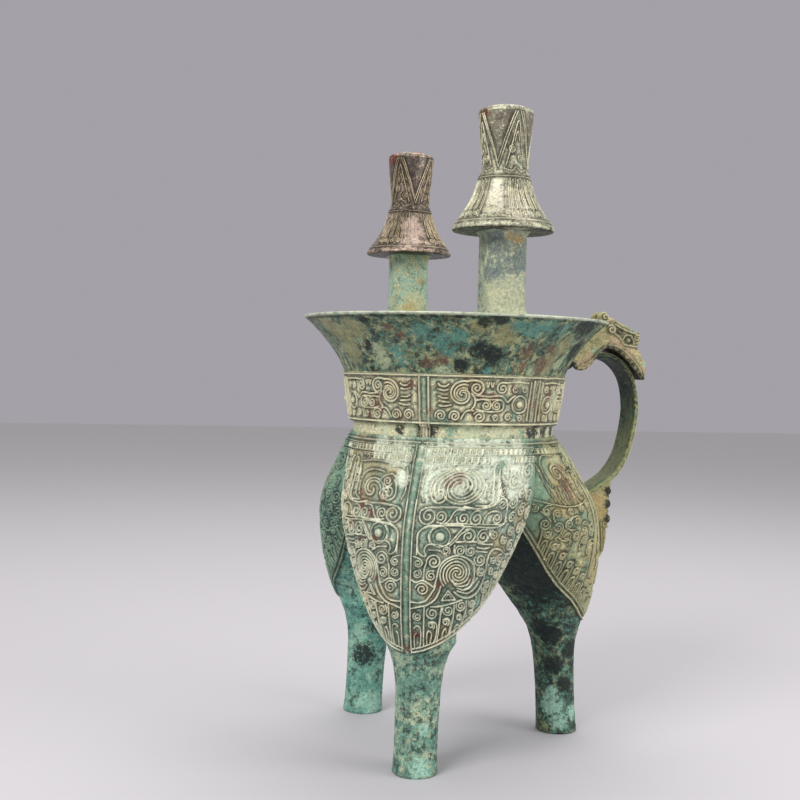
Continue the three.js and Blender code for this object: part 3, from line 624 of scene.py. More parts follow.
NECK_STROKES = [
    (flowing((-1, 167.5), (53, 167.5)), 0.46),
    (flowing((-1, 147.2), (53, 147.2)), 0.46),
    (flowing((2.0, 141.2), (2.0, 166.8)), 0.42),
    (flowing((0.7, 141.2), (0.7, 146.2)), 0.9),
    (flowing((50.2, 148.5), (50.2, 166)), 0.45),
    (flowing((48.0, 149), (48.2, 165.5)), 0.4),
    (spiral(16.4, 159.8, 5.9, 70, 1.42, 0.5), 0.5),
    (spiral(16.4, 159.8, 4.5, 62, 1.05, 0.9), 0.45),
    (spiral(16.4, 159.8, 3.1, 50, 0.62, 1.7), 0.4),
    (flowing((17.8, 165.4), (21.5, 165.8), (24.3, 164.9), (25.3, 162.6), (24.2, 160.4), (22.2, 159.7)),
     0.5),
    (spiral(22.3, 162.6, 2.3, -90, -1.5), 0.4),
    (flowing((20.4, 160.3), (21.8, 158.2), (21.8, 155.6), (20.6, 153.8)), 0.45),
    (flowing((6.2, 164.2), (7.2, 163.2), (9.2, 163.0), (10.6, 164.0)), 0.38),
    (flowing((6.0, 161.9), (8.6, 161.3), (10.4, 161.8)), 0.38),
    (flowing((6.2, 159.0), (7.6, 158.2), (10.2, 158.2)), 0.38),
    (flowing((6.4, 156.9), (8.2, 156.6), (10.8, 156.4)), 0.38),
    (flowing((6.4, 154.9), (8.6, 154.6), (11.6, 155.2)), 0.38),
    (spiral(7.3, 150.6, 2.4, 200, -1.7), 0.42),
    (spiral(13.4, 150.5, 2.4, 200, -1.7), 0.42),
    (flowing((16.0, 149.2), (17.6, 152.2), (19.6, 153.2), (21.4, 153.0)), 0.4),
    (spiral(24.1, 150.3, 2.7, 150, -1.7), 0.45),
    (flowing((22.8, 159.5), (27.5, 159.1), (32.8, 159.5), (34.8, 158.6), (36.6, 156.9), (38.2, 158.4),
             (40.2, 159.7)), 0.45),
    (flowing((22.4, 157.6), (25.2, 157.9), (29.2, 157.8), (33.2, 157.7), (34.8, 156.2), (34.4, 153.6),
             (32.2, 152.8)), 0.42),
    (spiral(26.9, 155.3, 2.3, 100, -1.7), 0.4),
    (spiral(31.6, 155.3, 2.2, 80, 1.7), 0.4),
    (flowing((22.4, 153.6), (27.0, 152.7), (32.2, 152.8)), 0.4),
    (spiral(33.6, 162.7, 2.7, 60, 1.7), 0.45),
    (flowing((35.0, 165.2), (38.6, 165.4), (43.0, 165.4), (46.6, 165.2)), 0.42),
    (flowing((26.4, 165.0), (27.0, 163.0), (27.6, 165.0)), 0.35),
    (flowing((28.4, 165.0), (29.0, 163.0), (29.6, 165.0)), 0.35),
    (flowing((39.0, 156.0), (40.2, 158.4), (43.0, 159.6), (46.0, 158.0), (46.8, 155.0)), 0.42),
    (flowing((39.0, 156.0), (40.0, 153.4), (42.6, 152.2), (45.6, 153.0), (46.8, 155.0)), 0.42),
    (spiral(40.2, 162.4, 1.7, 20, 1.5), 0.36),
    (spiral(44.8, 162.4, 1.7, 160, -1.5), 0.36),
    (spiral(37.6, 150.4, 1.7, 20, 1.5), 0.36),
    (spiral(31.4, 149.9, 1.5, 160, -1.4), 0.34),
    (spiral(43.8, 149.8, 1.5, 160, -1.4), 0.34),
]
NECK_BOSSES = [([(42.8, 155.9)], 1.55)]
neck_lines = drawing("neck_lines", NECK_STROKES)
neck_bosses = drawing("neck_bosses", NECK_BOSSES, bosses=True)

BAND_COLUMNS = 880
BAND_ROWS = 62
BAND_CHART_RADIUS = 49.5
foot_rows = [(43.8, 141.0), (46.0, 141.0), (46.0, 143.0), (46.0, 144.8), (46.3, 145.5), (47.0, 145.9),
             (47.7, 146.1)]
band_rise = np.linspace(0, 1, BAND_ROWS)
band_radii = BAND_FOOT + (BAND_TOP - BAND_FOOT) * band_rise
band_rows = list(zip(band_radii, BAND_LOW_Z + (BAND_HIGH_Z - BAND_LOW_Z) * band_rise))
back_rows = [(50.8, 168.5), (48.8, 168.5), (47.2, 160.0), (45.4, 152.0), (43.9, 146.0)]
band_points = turned(np.array(foot_rows + band_rows + back_rows), BAND_COLUMNS)
round_band = folded(angles_round(BAND_COLUMNS)) * BAND_CHART_RADIUS
band_chart = np.stack([np.repeat(round_band[None], len(band_points), axis=0), band_points[..., 2]], -1)
band_chart[0] = OFF_CHART
band_chart[-len(back_rows):] = OFF_CHART
# Patches of corrosion where the photograph has them: places with a radius, in millimetres about the axis
NECK_SPOTS = {
    "rust": [(-31, -38, 163, 5), (-25, -44, 152, 4), (-13, -48, 162, 4), (-6, -49, 152, 3),
             (-42, -25, 155, 7), (-46, -20, 150, 5), (22, -45, 156, 4), (31, -38, 162, 5),
             (-4, -50, 160, 4), (2, -50, 158, 4), (12, -48, 163, 4), (-36, -34, 150, 4)],
    "deep": [(-22, -39, 144, 5), (-27, -36, 144, 4), (-33, -31, 144, 3), (24, -39, 144, 5),
             (31, -33, 144, 4), (38, -25, 144, 4)],
    "pale": [(-6, -46, 144, 7), (8, -46, 144, 6), (36, -34, 158, 6), (-40, -26, 144, 5),
             (14, -48, 165, 4), (-30, -36, 144, 4)],
    "teal": [(-14, -44, 144, 4), (18, -42, 143.5, 3), (-18, -46, 150, 5), (-23, -44, 149, 4),
             (8, -50, 157, 5), (16, -47, 161, 5), (14, -48, 150, 5), (-37, -33, 149, 4),
             *[(-26.2, -42.0, z, 2.6) for z in range(142, 170, 3)]],
    "ochre": [(-8, -50, 165, 5), (-17, -48, 158, 5), (-38, -33, 163, 5), (28, -42, 152, 6),
              (-6, -50, 147, 4), (40, -30, 155, 6)],
}
neck_finish = bronze("neck_bronze", ((170, 178, 146), (212, 206, 170), (84, 102, 86), (124, 158, 138)),
                     (0.58, 0.32, 0.44), blotch=80, rub=0.8, hollow_patina_and_shade=1.0, teal=(122, 160, 138),
                     rust=(100, 64, 48), ridge=(226, 220, 188), hollow=(32, 34, 28))
masks = {label: dabs(band_points, places) for label, places in NECK_SPOTS.items()}
band_mesh = skin("neck_band", band_points, band_chart, masks, pierced=True)
neck_band = cast("neck_band", band_mesh, neck_finish, neck_lines, neck_bosses, ridge_height=0.55)
crisp(neck_band)
joined_to(neck_band, "verdigris_bronze", "mouth_and_neck")

FLARE_FOOT_RADIUS = 50.8
FLARE_BEND_RADIUS = 55.2
FLARE_BEND_Z = 180.85


def flare_radius(z, inset=0.0):
    """Outer radius of the mouth at a height: a slow lean first, then an open flare to the lip."""
    share = np.linspace(0, 1, 200)
    start, middle, end = (1 - share)**2, 2 * share * (1 - share), share**2
    rim = RIM_RADIUS / MM - (LIP_WIDTH if inset else 0)
    radius = start * (FLARE_FOOT_RADIUS - inset) + middle * (FLARE_BEND_RADIUS - inset) + end * rim
    height = start * NECK_Z + middle * FLARE_BEND_Z + end * RIM_Z
    return np.interp(z, height, radius)


FLARE_COLUMNS = 420
FLARE_CHART_RADIUS = 60
UNDER_LIP_SHADOW_Z = 191.7
outside = [(flare_radius(z), z) for z in np.linspace(NECK_Z, RIM_Z - 0.6, 70)]
edge = RIM_RADIUS / MM
lip = [(edge - 0.15, RIM_Z - 0.2), (edge - 0.35, RIM_Z + 0.15), (edge - 1.1, RIM_Z + 0.3),
       (edge - 1.9, RIM_Z + 0.1)]
inside = [(flare_radius(z, WALL), z) for z in np.linspace(RIM_Z - 0.3, NECK_Z, 60)]
ring = np.array(outside + lip + inside)
mouth_points = turned(ring, FLARE_COLUMNS)
# Only the lip is charted at its own height, so that one worn line runs round it
mouth_chart = np.zeros((*mouth_points.shape[:2], 2))
mouth_chart[..., 0] = angles_round(FLARE_COLUMNS) * FLARE_CHART_RADIUS
mouth_chart[len(outside) - 1:len(outside) + len(lip), :, 1] = RIM_Z
MOUTH_SPOTS = {
    "rust": [(-44, -46, 188, 4), (-39, -47, 184, 4), (-26, -46, 173, 5), (-21, -49, 174, 5),
             (16, -54, 178, 7), (24, -47, 173, 7), (14, -51, 172, 5), (28, -50, 180, 5)],
    "teal": [(8, -65, 189, 6), (15, -62, 188, 8), (21, -62, 190, 6), (-36, -39, 173, 3),
             (-1, -51, 170, 3), (-31, -53, 186, 7), (-23, -54, 182, 7), (-17, -58, 184, 7),
             (-19, -52, 178, 5), (-38, -40, 177, 5), (30, -56, 190, 5)],
    "deep": [(-7, -56, 178, 5), (-1, -55, 176, 6), (-2, -68, 192, 5), (-8, -66, 190, 4),
             (-44, -25, 169, 3), (45, -48, 190, 8), (45, -36, 180, 7), (-48, -30, 180, 4),
             (52, -10, 172, 5), (-13, -51, 172, 4), (-52, -40, 191, 4), (40, -52, 192, 6)],
    "pale": [(-44, -34, 178, 5), (-42, -32, 173, 4), (-12, -56, 174, 3), (36, -40, 174, 4),
             (-20, -46, 170, 5), (20, -47, 170, 4)],
    "ochre": [(-62, -16, 188, 8), (-57, -21, 184, 8), (-52, -17, 177, 7), (-56, -32, 187, 7),
              (3, -60, 184, 6), (28, -45, 174, 6), (-9, -64, 188, 5), (2, -62, 187, 5),
              (34, -46, 182, 6)],
}
mouth_lip = drawing("mouth_lip", [(flowing((-5, RIM_Z), (400, RIM_Z)), 0.8)])
mouth_finish = bronze("mouth_bronze", ((84, 104, 86), (158, 164, 124), (24, 34, 32), (84, 132, 116)),
                      (0.54, 0.57, 0.5), blotch=84, teal=(88, 144, 134), rust=(104, 74, 58),
                      pale=(170, 184, 150), ridge=(206, 212, 190), rub=0.9, hollow_patina_and_shade=0.2, rough=(0.34, 0.72),
                      metallic=0.3, ochre=(158, 154, 108))
mouth_masks = {label: dabs(mouth_points, places) for label, places in MOUTH_SPOTS.items()}
# Painted shadow: a dark band on the outside just under the lip, where the lip shades the mouth
under_lip_shadow = np.clip(1 - np.abs(ring[:, 1:] - UNDER_LIP_SHADOW_Z), 0, 1)
under_lip_shadow[len(outside):] = 0
mouth_masks["deep"] = np.maximum(mouth_masks["deep"], under_lip_shadow * 0.6)
mouth_mesh = skin("mouth", mouth_points, mouth_chart, mouth_masks, pierced=True)
mouth = cast("mouth", mouth_mesh, mouth_finish, mouth_lip, ridge_height=0.05, hollow_depth=0.0,
             casting_waves=0.6)
joined_to(mouth, "verdigris_bronze", "mouth_and_neck")

# Pouches: three hollow bags swell out below the neck and run down into the legs. Each is cast
# with a beast mask on both sides of a flat spine: horns, eyes, jaws and spirals inside a double border.

SEAT_Z = 50.0
SEAT_CIRCLE = 52.4
SEAT_RADIUS = 12.5
SHOULDER_RADIUS = 47.2
POUCH_LEVELS = [0, 0.06, 0.13, 0.23, 0.35, 0.5, 0.58, 0.68, 0.79, 0.88, 1]
POUCH_CENTRE = [0, 0.014, 0.047, 0.095, 0.173, 0.284, 0.348, 0.436, 0.572, 0.747, 1]
POUCH_DEPTH = [0, 0.074, 0.185, 0.3, 0.45, 0.603, 0.672, 0.702, 0.722, 0.85, 1]
POUCH_WIDTH = [0, 0.082, 0.232, 0.378, 0.535, 0.7, 0.775, 0.85, 0.87, 0.91, 1]
POUCH_ANGLES = {"front_pouch": -120, "handle_side_pouch": 0, "back_pouch": 120}
SPINE_SHIFT = -2.0
FLATNESS = 0.6
FLAT_FROM_Z = 55
FLAT_TO_Z = 106
FLAT_EASE = 8
# The mask's lower border, as arc from the spine and height
BORDER = [(1.8, 53), (6, 54), (10, 55.5), (15, 57.8), (20, 60.5), (25, 63.6), (30, 66.8), (36, 70.3),
          (42, 74.2), (47.5, 78.4), (52, 82.2), (56, 86.4), (60, 90.5), (64, 94.8), (67.5, 98.6),
          (71, 103)]


def eased(heights, levels, values, reach=0.035):
    """Values between levels, rounded over where they bend. The line is carried on past both ends."""
    step = 0.001
    dense = np.linspace(-0.2, 1.2, 1401)
    inside = np.clip(dense, 0, 1)
    line = np.interp(inside, levels, values)
    line += np.where(dense < 0, (values[1] - values[0]) / (levels[1] - levels[0]) * dense, 0)
    line += np.where(dense > 1, (values[-1] - values[-2]) / (levels[-1] - levels[-2]) * (dense - 1), 0)
    kernel = np.exp(-0.5 * (np.arange(-120, 121) * step / reach)**2)
    padded = np.pad(line, 120, mode="edge")
    smooth = np.convolve(padded, kernel / kernel.sum(), mode="valid")
    return np.interp(heights, dense, smooth)


def pouch_rings(heights, inset, columns, fine_reach):
    """Rings of a pouch at given heights, about its own azimuth, with their arc length from the front.
    Inside the border of the mask the side is full, and behind it it falls back nearly flat."""
    border_reach = np.interp(heights, [z for _, z in BORDER], [x for x, _ in BORDER])
    flatness = FLATNESS * np.clip((heights - FLAT_FROM_Z) / FLAT_EASE, 0, 1)
    flatness *= np.clip((FLAT_TO_Z - heights) / FLAT_EASE, 0, 1)
    share = (heights - SEAT_Z) / (SHOULDER_Z - SEAT_Z)
    centre = SEAT_CIRCLE * (1 - eased(share, POUCH_LEVELS, POUCH_CENTRE))
    swell = SHOULDER_RADIUS - SEAT_RADIUS
    depth = SEAT_RADIUS + swell * eased(share, POUCH_LEVELS, POUCH_DEPTH) - inset
    width = SEAT_RADIUS + swell * eased(share, POUCH_LEVELS, POUCH_WIDTH) - inset
    points = np.zeros((len(heights), columns, 3))
    arcs = np.zeros((len(heights), columns))
    dense = np.linspace(0, math.pi, 400)
    coarse = columns // 11
    # The columns stand closest over the mask, where the relief is finest
    steps = np.linspace(-1, 1, columns - coarse - 1)
    spacing = np.interp(steps, [-1, -0.5, -0.4, 0.4, 0.5, 1], [1.9, 1.9, 1, 1, 1.9, 1.9])
    spread = np.concatenate([[0], np.cumsum(spacing)]) / spacing.sum() * 2 - 1
    for row, z in enumerate(heights):
        run = np.hypot(depth[row] * np.sin(dense), width[row] * np.cos(dense))
        length = np.concatenate([[0], np.cumsum((run[1:] + run[:-1]) / 2 * np.diff(dense))])
        reach = min(fine_reach, 0.93 * length[-1])
        front = reach * spread
        behind = np.linspace(reach, 2 * length[-1] - reach, coarse + 2)[1:-1]
        behind = np.where(behind > length[-1], behind - 2 * length[-1], behind)
        along = np.concatenate([front, behind])
        angle = np.sign(along) * np.interp(np.abs(along), length, dense)
        x = centre[row] + depth[row] * np.cos(angle)
        y = width[row] * np.sin(angle)
        for side in (-1, 1):
            limit = border_reach[row] + side * SPINE_SHIFT
            start = np.interp(limit, length, dense)
            past = side * angle > start
            share = (side * angle[past] - start) / (math.pi - start)
            corner = np.array([centre[row] + depth[row] * math.cos(start),
                               side * width[row] * math.sin(start)])
            back = np.array([centre[row] - depth[row], 0])
            chord = corner + (back - corner) * share[:, None]
            x[past] += (chord[:, 0] - x[past]) * flatness[row]
            y[past] += (chord[:, 1] - y[past]) * flatness[row]
        points[row, :, 0] = x
        points[row, :, 1] = y
        points[row, :, 2] = z
        arcs[row] = along
    return points, arcs


def horn_arms(x, z, outers=(13.0, 11.2, 9.4)):
    """Three arms of the big horn spiral, which flattens towards its rim."""
    arms = []
    for outer in outers:
        turns = (outer - 1.0) / 5.4
        share = np.linspace(0, 1, int(turns * 40))
        angle = math.radians(205) - share * turns * 2 * math.pi
        across = outer - 5.4 * turns * share
        up = across * (0.63 + 0.37 * (1 - across / 13))
        arms.append((np.stack([x + across * np.cos(angle), z + up * np.sin(angle)], 1), 0.45))
    return arms


def jaw_arms(x, z):
    """Three arms of the rolled jaw, which rise from its root and roll inwards."""
    arms = []
    for outer in (7.6, 6.3, 5.0):
        turns = (outer - 0.8) / 3.9
        share = np.linspace(0, 1, int(turns * 40))
        angle = math.radians(222) - share * turns * 2 * math.pi
        size = outer - 3.9 * turns * share
        arms.append((np.stack([x + size * np.cos(angle), z + size * np.sin(angle)], 1), 0.45))
    return arms


def square_spirals(left, right, z, size):
    """A row of small square spirals, the ground pattern above the horns."""
    row = []
    s = size
    for x in np.arange(left, right, size * 2.35):
        turns = [(-1, -1), (-1, 1), (1, 1), (1, -1), (-0.4, -1), (-0.4, 0.35), (0.4, 0.35)]
        row.append((np.array([(x + s * across, z + s * up) for across, up in turns]), 0.24))
    return row


MASK_STROKES = [
    (spiral(11.3, 118.0, 3.3, 200, 1.8), 0.42),
    (flowing((8.6, 122.5), (8.0, 119.5), (8.2, 116.6), (10.2, 115.3)), 0.4),
    (flowing((34.8, 131), (33.5, 130.2), (33.4, 128), (33.9, 122), (34.6, 117), (34.0, 115), (32, 114),
             (27, 114.2)), 0.5),
    (flowing((36, 128.5), (36.3, 122), (37.0, 117), (36.2, 115), (33.6, 113.6), (28, 112.9), (22, 113.9)),
     0.5),
    (flowing((5.0, 112), (6.4, 112.9), (13, 113.5), (20, 113.4), (28, 112.9)), 0.5),
    (spiral(7.7, 109.8, 3.9, 140, 1.9), 0.42),
    (spiral(12.9, 109.8, 2.4, -60, 1.6), 0.42),
    (flowing((11.6, 107.6), (14.6, 107.1), (16.6, 108.6), (18.0, 111.4), (19.6, 112.6), (22.6, 112.4)),
     0.42),
    (spiral(22.3, 109.2, 2.8, 170, 1.7), 0.42),
    (spiral(28.0, 109.0, 3.2, 60, 1.8), 0.42),
    (flowing((31.2, 107.4), (31.9, 109.6), (33.6, 111.4), (36.4, 111.9), (38.8, 111.2)), 0.38),
    (spiral(37.7, 109.0, 2.5, 60, -1.7), 0.42),
    (spiral(39.3, 119.6, 2.2, 160, 1.7), 0.4),
    (spiral(39.7, 114.5, 2.4, 160, -1.7), 0.4),
    (flowing((36.4, 124.5), (37.4, 121.2), (38.2, 118.0), (41.6, 116.0), (42.6, 112.5), (42.4, 107.4)),
     0.42),
    (flowing((38.0, 131.5), (39.4, 130.5), (40.4, 128.0), (40.2, 125.0)), 0.38),
    (flowing((6.8, 105.4), (10, 106.2), (20, 106.3), (37, 105.3), (42, 106.4)), 0.48),
    (flowing((13, 107.0), (22, 107.1), (35, 106.6), (40, 106.3), (43.4, 107.6)), 0.4),
    (spiral(13.4, 101.8, 4.2, 0, 1.0, 4.2), 0.3),
    (flowing((4.3, 94.5), (4.2, 99), (4.5, 103), (7.0, 105.2), (12, 105.9)), 0.5),
    (flowing((9.3, 99.5), (8.7, 102.5), (10.2, 105.1)), 0.4),
    (flowing((15.5, 98.2), (18.0, 99.8), (21.5, 104.0), (23.2, 105.8)), 0.45),
    (flowing((17.6, 98.4), (19.6, 100.2), (22.2, 103.2), (25.0, 104.6)), 0.42),
    (spiral(25.3, 102.0, 3.2, 120, -1.8), 0.42),
    (spiral(31.9, 101.8, 3.1, 60, 1.8), 0.42),
    (spiral(37.4, 102.4, 2.1, 120, 1.5), 0.38),
    (flowing((20.2, 99.9), (24, 99.9), (28.4, 99.8), (31.2, 98.9), (37.4, 98.4)), 0.42),
    (flowing((34.6, 105.0), (34.8, 102.2), (33.6, 99.6)), 0.38),
    (flowing((4.3, 98), (4.8, 95.5), (6.3, 94), (7.9, 93.8)), 0.45),
    (flowing((14.6, 98.2), (10, 98.8), (8, 98), (7.3, 96), (8.2, 94.3)), 0.42),
    (flowing((9.2, 96.5), (13.5, 96.2), (15.0, 95.2), (16.6, 94.4)), 0.42),
    (spiral(16.3, 96.3, 1.7, -40, 1.5), 0.38),
    (spiral(22.1, 96.3, 2.2, 200, -1.7), 0.4),
    (spiral(26.6, 96.0, 2.1, 150, 1.7), 0.4),
    (spiral(31.4, 92.2, 2.8, 150, 1.8), 0.42),
    (spiral(32.3, 87.2, 2.1, 120, 1.6), 0.4),
    (flowing((19.8, 98.6), (19.6, 96.0), (20.6, 94.4)), 0.36),
    (flowing((29.4, 97.4), (32.6, 96.9), (35.6, 97.2)), 0.38),
    (flowing((29.0, 95.9), (31.6, 95.6), (34.4, 95.4)), 0.36),
    (spiral(11.5, 91.6, 3.1, 190, -1.9), 0.45),
    (flowing((8.4, 91.0), (7.6, 88.4), (7.5, 85.4), (7.4, 83.8)), 0.42),
    (spiral(5.0, 90.9, 1.8, 60, -1.6), 0.4),
    (spiral(4.8, 86.6, 1.9, 60, -1.7), 0.4),
    (flowing((2.8, 93.6), (4.2, 93.2), (6.0, 92.4), (6.9, 90.8)), 0.38),
    (spiral(10.4, 85.9, 2.2, 60, 1.7), 0.4),
    (spiral(6.9, 80.3, 2.8, 170, -1.8), 0.42),
    (flowing((2.6, 83.9), (4.4, 83.0), (7, 83.9), (10, 82.4), (11.7, 81.5), (12.7, 85), (14, 90),
             (16, 92.5), (19, 94), (22, 94.2), (25.5, 93), (28.3, 90.5), (29, 86.5), (28.5, 83.5),
             (27, 81.3), (24.6, 80.2)), 0.5),
    (flowing((2.3, 74.7), (6, 74.7), (8.5, 75.6), (10, 77.5), (11.5, 80), (12.3, 82)), 0.45),
    (flowing((2.5, 72.0), (5, 72.8), (9, 73.8), (12, 76), (13.5, 78.5), (14.5, 81.6)), 0.45),
    *jaw_arms(21.3, 87.0),
    (flowing((19.4, 84.2), (20.6, 82.3), (23.4, 81.6), (26.0, 82.4), (27.0, 84.4)), 0.45),
    (flowing((21.5, 80.9), (24.5, 79.9), (27, 81), (29.2, 83.4), (30.6, 84.6)), 0.42),
    (flowing((21.6, 79.6), (26, 78.5), (29.5, 80.3), (31.8, 83.2)), 0.42),
    (flowing((20.3, 79.2), (23, 77.2), (27, 76.5), (31, 78.3), (33.6, 82), (34.6, 86), (35, 90),
             (35.6, 94), (38, 96.3), (42, 95.8)), 0.48),
    (np.array([(15, 75.9), (17.6, 79.9), (20.8, 76.0), (15, 75.9)]), 0.42),
    (np.array([(16.5, 76.8), (17.6, 78.6), (19.0, 76.9)]), 0.34),
    (flowing((10.5, 73.0), (15, 73.5), (20, 74.8), (24, 75.8)), 0.42),
    (spiral(4.9, 68.7, 1.8, 120, 1.6), 0.4),
    (flowing((3.5, 63.6), (4.5, 64.7), (6.0, 64.0), (6.2, 60), (5.6, 55.4)), 0.38),
    (flowing((3.4, 55.0), (3.5, 60.4), (4.4, 61.6)), 0.36),
    (spiral(11.0, 70.3, 2.5, 130, 1.7), 0.42),
    (spiral(10.6, 65.2, 1.5, -60, 1.4), 0.38),
    (flowing((9.4, 66.4), (11.2, 66.8), (12.9, 65.4), (12.5, 61), (11.3, 57.5)), 0.4),
    (flowing((8.5, 57), (8.6, 61), (9.5, 62.9), (10.6, 61.5), (9.8, 57.6)), 0.36),
    (spiral(17.6, 71.5, 2.4, 150, 1.7), 0.42),
    (spiral(16.7, 66.5, 1.5, -60, 1.4), 0.38),
    (flowing((15.6, 67.6), (17.4, 68.1), (18.8, 66.2), (18.2, 62), (16.6, 59.6)), 0.4),
    (flowing((14.8, 59.0), (15.4, 62.4), (16.6, 63.9), (16.9, 61.9)), 0.36),
    (spiral(23.4, 73.2, 2.4, 150, 1.7), 0.42),
    (spiral(22.7, 68.3, 1.5, -60, 1.4), 0.38),
    (flowing((20.6, 61.5), (21.3, 64.6), (22.6, 65.2), (23.4, 63.8)), 0.36),
    (spiral(29.0, 73.9, 1.9, 150, 1.6), 0.4),
    (spiral(28.9, 69.8, 1.4, -60, 1.3), 0.36),
    (flowing((7.8, 73), (7.5, 65), (7.0, 55.9)), 0.45),
    (flowing((14.9, 73.0), (14.0, 66), (12.6, 58.0)), 0.45),
    (flowing((20.3, 74.0), (19.9, 68), (18.2, 60.0)), 0.45),
    (flowing((26.1, 75.2), (25.7, 70), (23.4, 63.2)), 0.45),
    (flowing((31.4, 77), (30.2, 71.6), (28.6, 67.4)), 0.42),
    (spiral(35.6, 79.4, 1.8, 150, 1.5), 0.38),
    (spiral(38.0, 86.6, 1.9, 150, -1.5), 0.38),
    (spiral(38.6, 91.8, 1.8, 150, 1.5), 0.38),
    (flowing((31.0, 129.6), (28.0, 130.0), (22.0, 130.4), (14.0, 130.2), (7.2, 128.8)), 0.3),
    (flowing((4.6, 128.4), (3.6, 125), (3.6, 119), (4.8, 115.6)), 0.34),
    *square_spirals(30.9, 33, 125.6, 1.1),
    *square_spirals(31.1, 33, 122.2, 1.1),
    *square_spirals(31.3, 33, 118.8, 1.1),
    (spiral(44.8, 123.5, 3.4, 120, 1.8), 0.42),
    (spiral(45.4, 115.0, 2.6, 60, -1.7), 0.42),
    (spiral(46.4, 109.0, 2.2, 60, 1.6), 0.42),
]


def border_lines(inset, half_width):
    """The double ridge that bounds a mask, from the foot of its spine up to the valley."""
    line = np.array(BORDER, float)
    along = np.gradient(line, axis=0)
    across = np.stack([-along[:, 1], along[:, 0]], 1) / np.linalg.norm(along, axis=1)[:, None]
    return (flowing(*(line + across * inset)), half_width)


def fringe(left, right):
    """Hairpin loops under small spirals, hanging side by side from the mask to the border."""
    strokes = []
    for x in np.arange(left, right, 5.4):
        foot = np.interp(x, [b[0] for b in BORDER], [b[1] for b in BORDER])
        hairpin = [(-1.3, 1.4), (-1.3, 6.2), (0, 7.6), (1.2, 6.4), (1.3, 3.2)]
        strokes += [
            (flowing(*[(x + across, foot + up) for across, up in hairpin]), 0.38),
            (flowing((x, foot + 2.6), (x - 0.1, foot + 5.4)), 0.34),
            (spiral(x, foot + 10.6, 1.9, 150, 1.6), 0.4),
            (flowing((x + 2.7, foot + 4.2), (x + 2.8, foot + 12.6)), 0.4),
        ]
    return strokes


FLANK_STROKES = [
    (spiral(53.0, 127.4, 4.6, 150, 2.0), 0.45),
    (spiral(50.6, 118.8, 2.6, 60, -1.7), 0.42),
    (spiral(56.8, 117.8, 3.0, 150, 1.8), 0.42),
    (spiral(52.4, 111.6, 2.8, 60, 1.7), 0.42),
    (spiral(60.0, 110.4, 3.4, 150, 1.8), 0.45),
    (spiral(54.0, 104.4, 3.1, 60, -1.8), 0.42),
    (spiral(61.6, 102.6, 2.9, 150, -1.7), 0.42),
    (spiral(47.6, 103.4, 2.3, 120, 1.7), 0.4),
    (spiral(48.8, 97.0, 2.6, 60, 1.7), 0.42),
    (spiral(55.6, 97.4, 2.6, 120, -1.7), 0.42),
    (spiral(43.6, 99.8, 2.0, 120, 1.6), 0.4),
    (spiral(42.6, 91.2, 2.6, 60, 1.7), 0.42),
    (flowing((38, 96.3), (42, 95.8), (46, 93.4), (50, 93.2)), 0.42),
]
POUCH_STROKES = [
    (flowing((1, 138.9), (20, 138.9), (90, 138.9)), 0.42),
    (flowing((2.0, 53), (2.0, 96), (2.0, 116)), 0.4),
    (flowing((2.1, 116), (2.2, 138.4)), 0.24),
    border_lines(0.0, 0.45),
    border_lines(1.5, 0.34),
    *MASK_STROKES,
    *FLANK_STROKES,
    *fringe(37, 60),
    *square_spirals(6.2, 60, 135.6, 1.15),
    *square_spirals(4.8, 31, 132.2, 1.15),
    *square_spirals(42.8, 60, 132.2, 1.15),
    (flowing((3.2, 137.4), (18, 137.5), (60, 137.4)), 0.22),
]
# The mask's right half has a big horn. The left half, drawn far off, has a small one with curls
SMALL_HORN = [
    *horn_arms(20.5, 118.9, (7.0, 5.4)),
    (spiral(12.6, 122.4, 2.2, 200, 1.6), 0.42),
    (spiral(13.0, 117.2, 2.6, 120, -1.7), 0.42),
    (flowing((9.4, 124.5), (11.2, 125.6), (14.8, 124.4), (16.8, 122.0)), 0.36),
    (flowing((30.4, 128.4), (30.6, 121), (30.2, 116.4), (27.4, 114.6)), 0.36),
    (flowing((15, 126.2), (21, 126.9), (26.5, 125.0), (28.4, 120.0), (27.4, 115.8)), 0.34),
]
FAR_HALF = 300
LEFT_STROKES = [(points + np.array([FAR_HALF, 0]), half) for points, half in POUCH_STROKES + SMALL_HORN]
POUCH_STROKES += horn_arms(19.5, 121.3)
LINE_SHARE = 0.86
POUCH_BOSSES = [([(13.4 + shift, 101.8)], 1.9) for shift in (0, FAR_HALF)]
pouch_lines = drawing("pouch_lines",
                      [(points, half * LINE_SHARE) for points, half in POUCH_STROKES + LEFT_STROKES])
pouch_bosses = drawing("pouch_bosses", POUCH_BOSSES, bosses=True)


def curl(x, z, radius, start, hand):
    """A small spiral with a tail that runs off from its outer end, like a comma."""
    line = spiral(x, z, radius, start, hand * 1.8)
    leaving = (line[0] - line[1]) / np.linalg.norm(line[0] - line[1])
    aside = hand * np.array([leaving[1], -leaving[0]])
    return np.vstack([line[0] + leaving * radius * 1.9 + aside * radius * 0.5, line[0] + leaving * radius,
                      line])


SIDE_SPIRALS = [(56.4, 133.4, 2.3), (57.8, 127.2, 2.1), (62.6, 131.0, 2.0), (63.4, 124.6, 1.9),
                (53.4, 108.0, 2.0), (58.6, 109.0, 1.9), (59.4, 103.4, 2.8), (52.8, 101.6, 2.5),
                (47.2, 103.0, 2.1), (64.0, 111.0, 2.2), (42.0, 104.4, 2.2), (36.8, 101.4, 2.4),
                (42.2, 97.6, 2.1), (47.6, 97.4, 2.0), (36.2, 94.8, 2.2), (31.0, 90.0, 2.2),
                (38.4, 109.8, 1.8), (46.0, 108.6, 1.7)]
SIDE_SPIRALS += [(x, z, 2.2) for x in (9.0, 17.5, 31.0) for z in np.arange(74 + x * 0.6, 134, 6.2)]
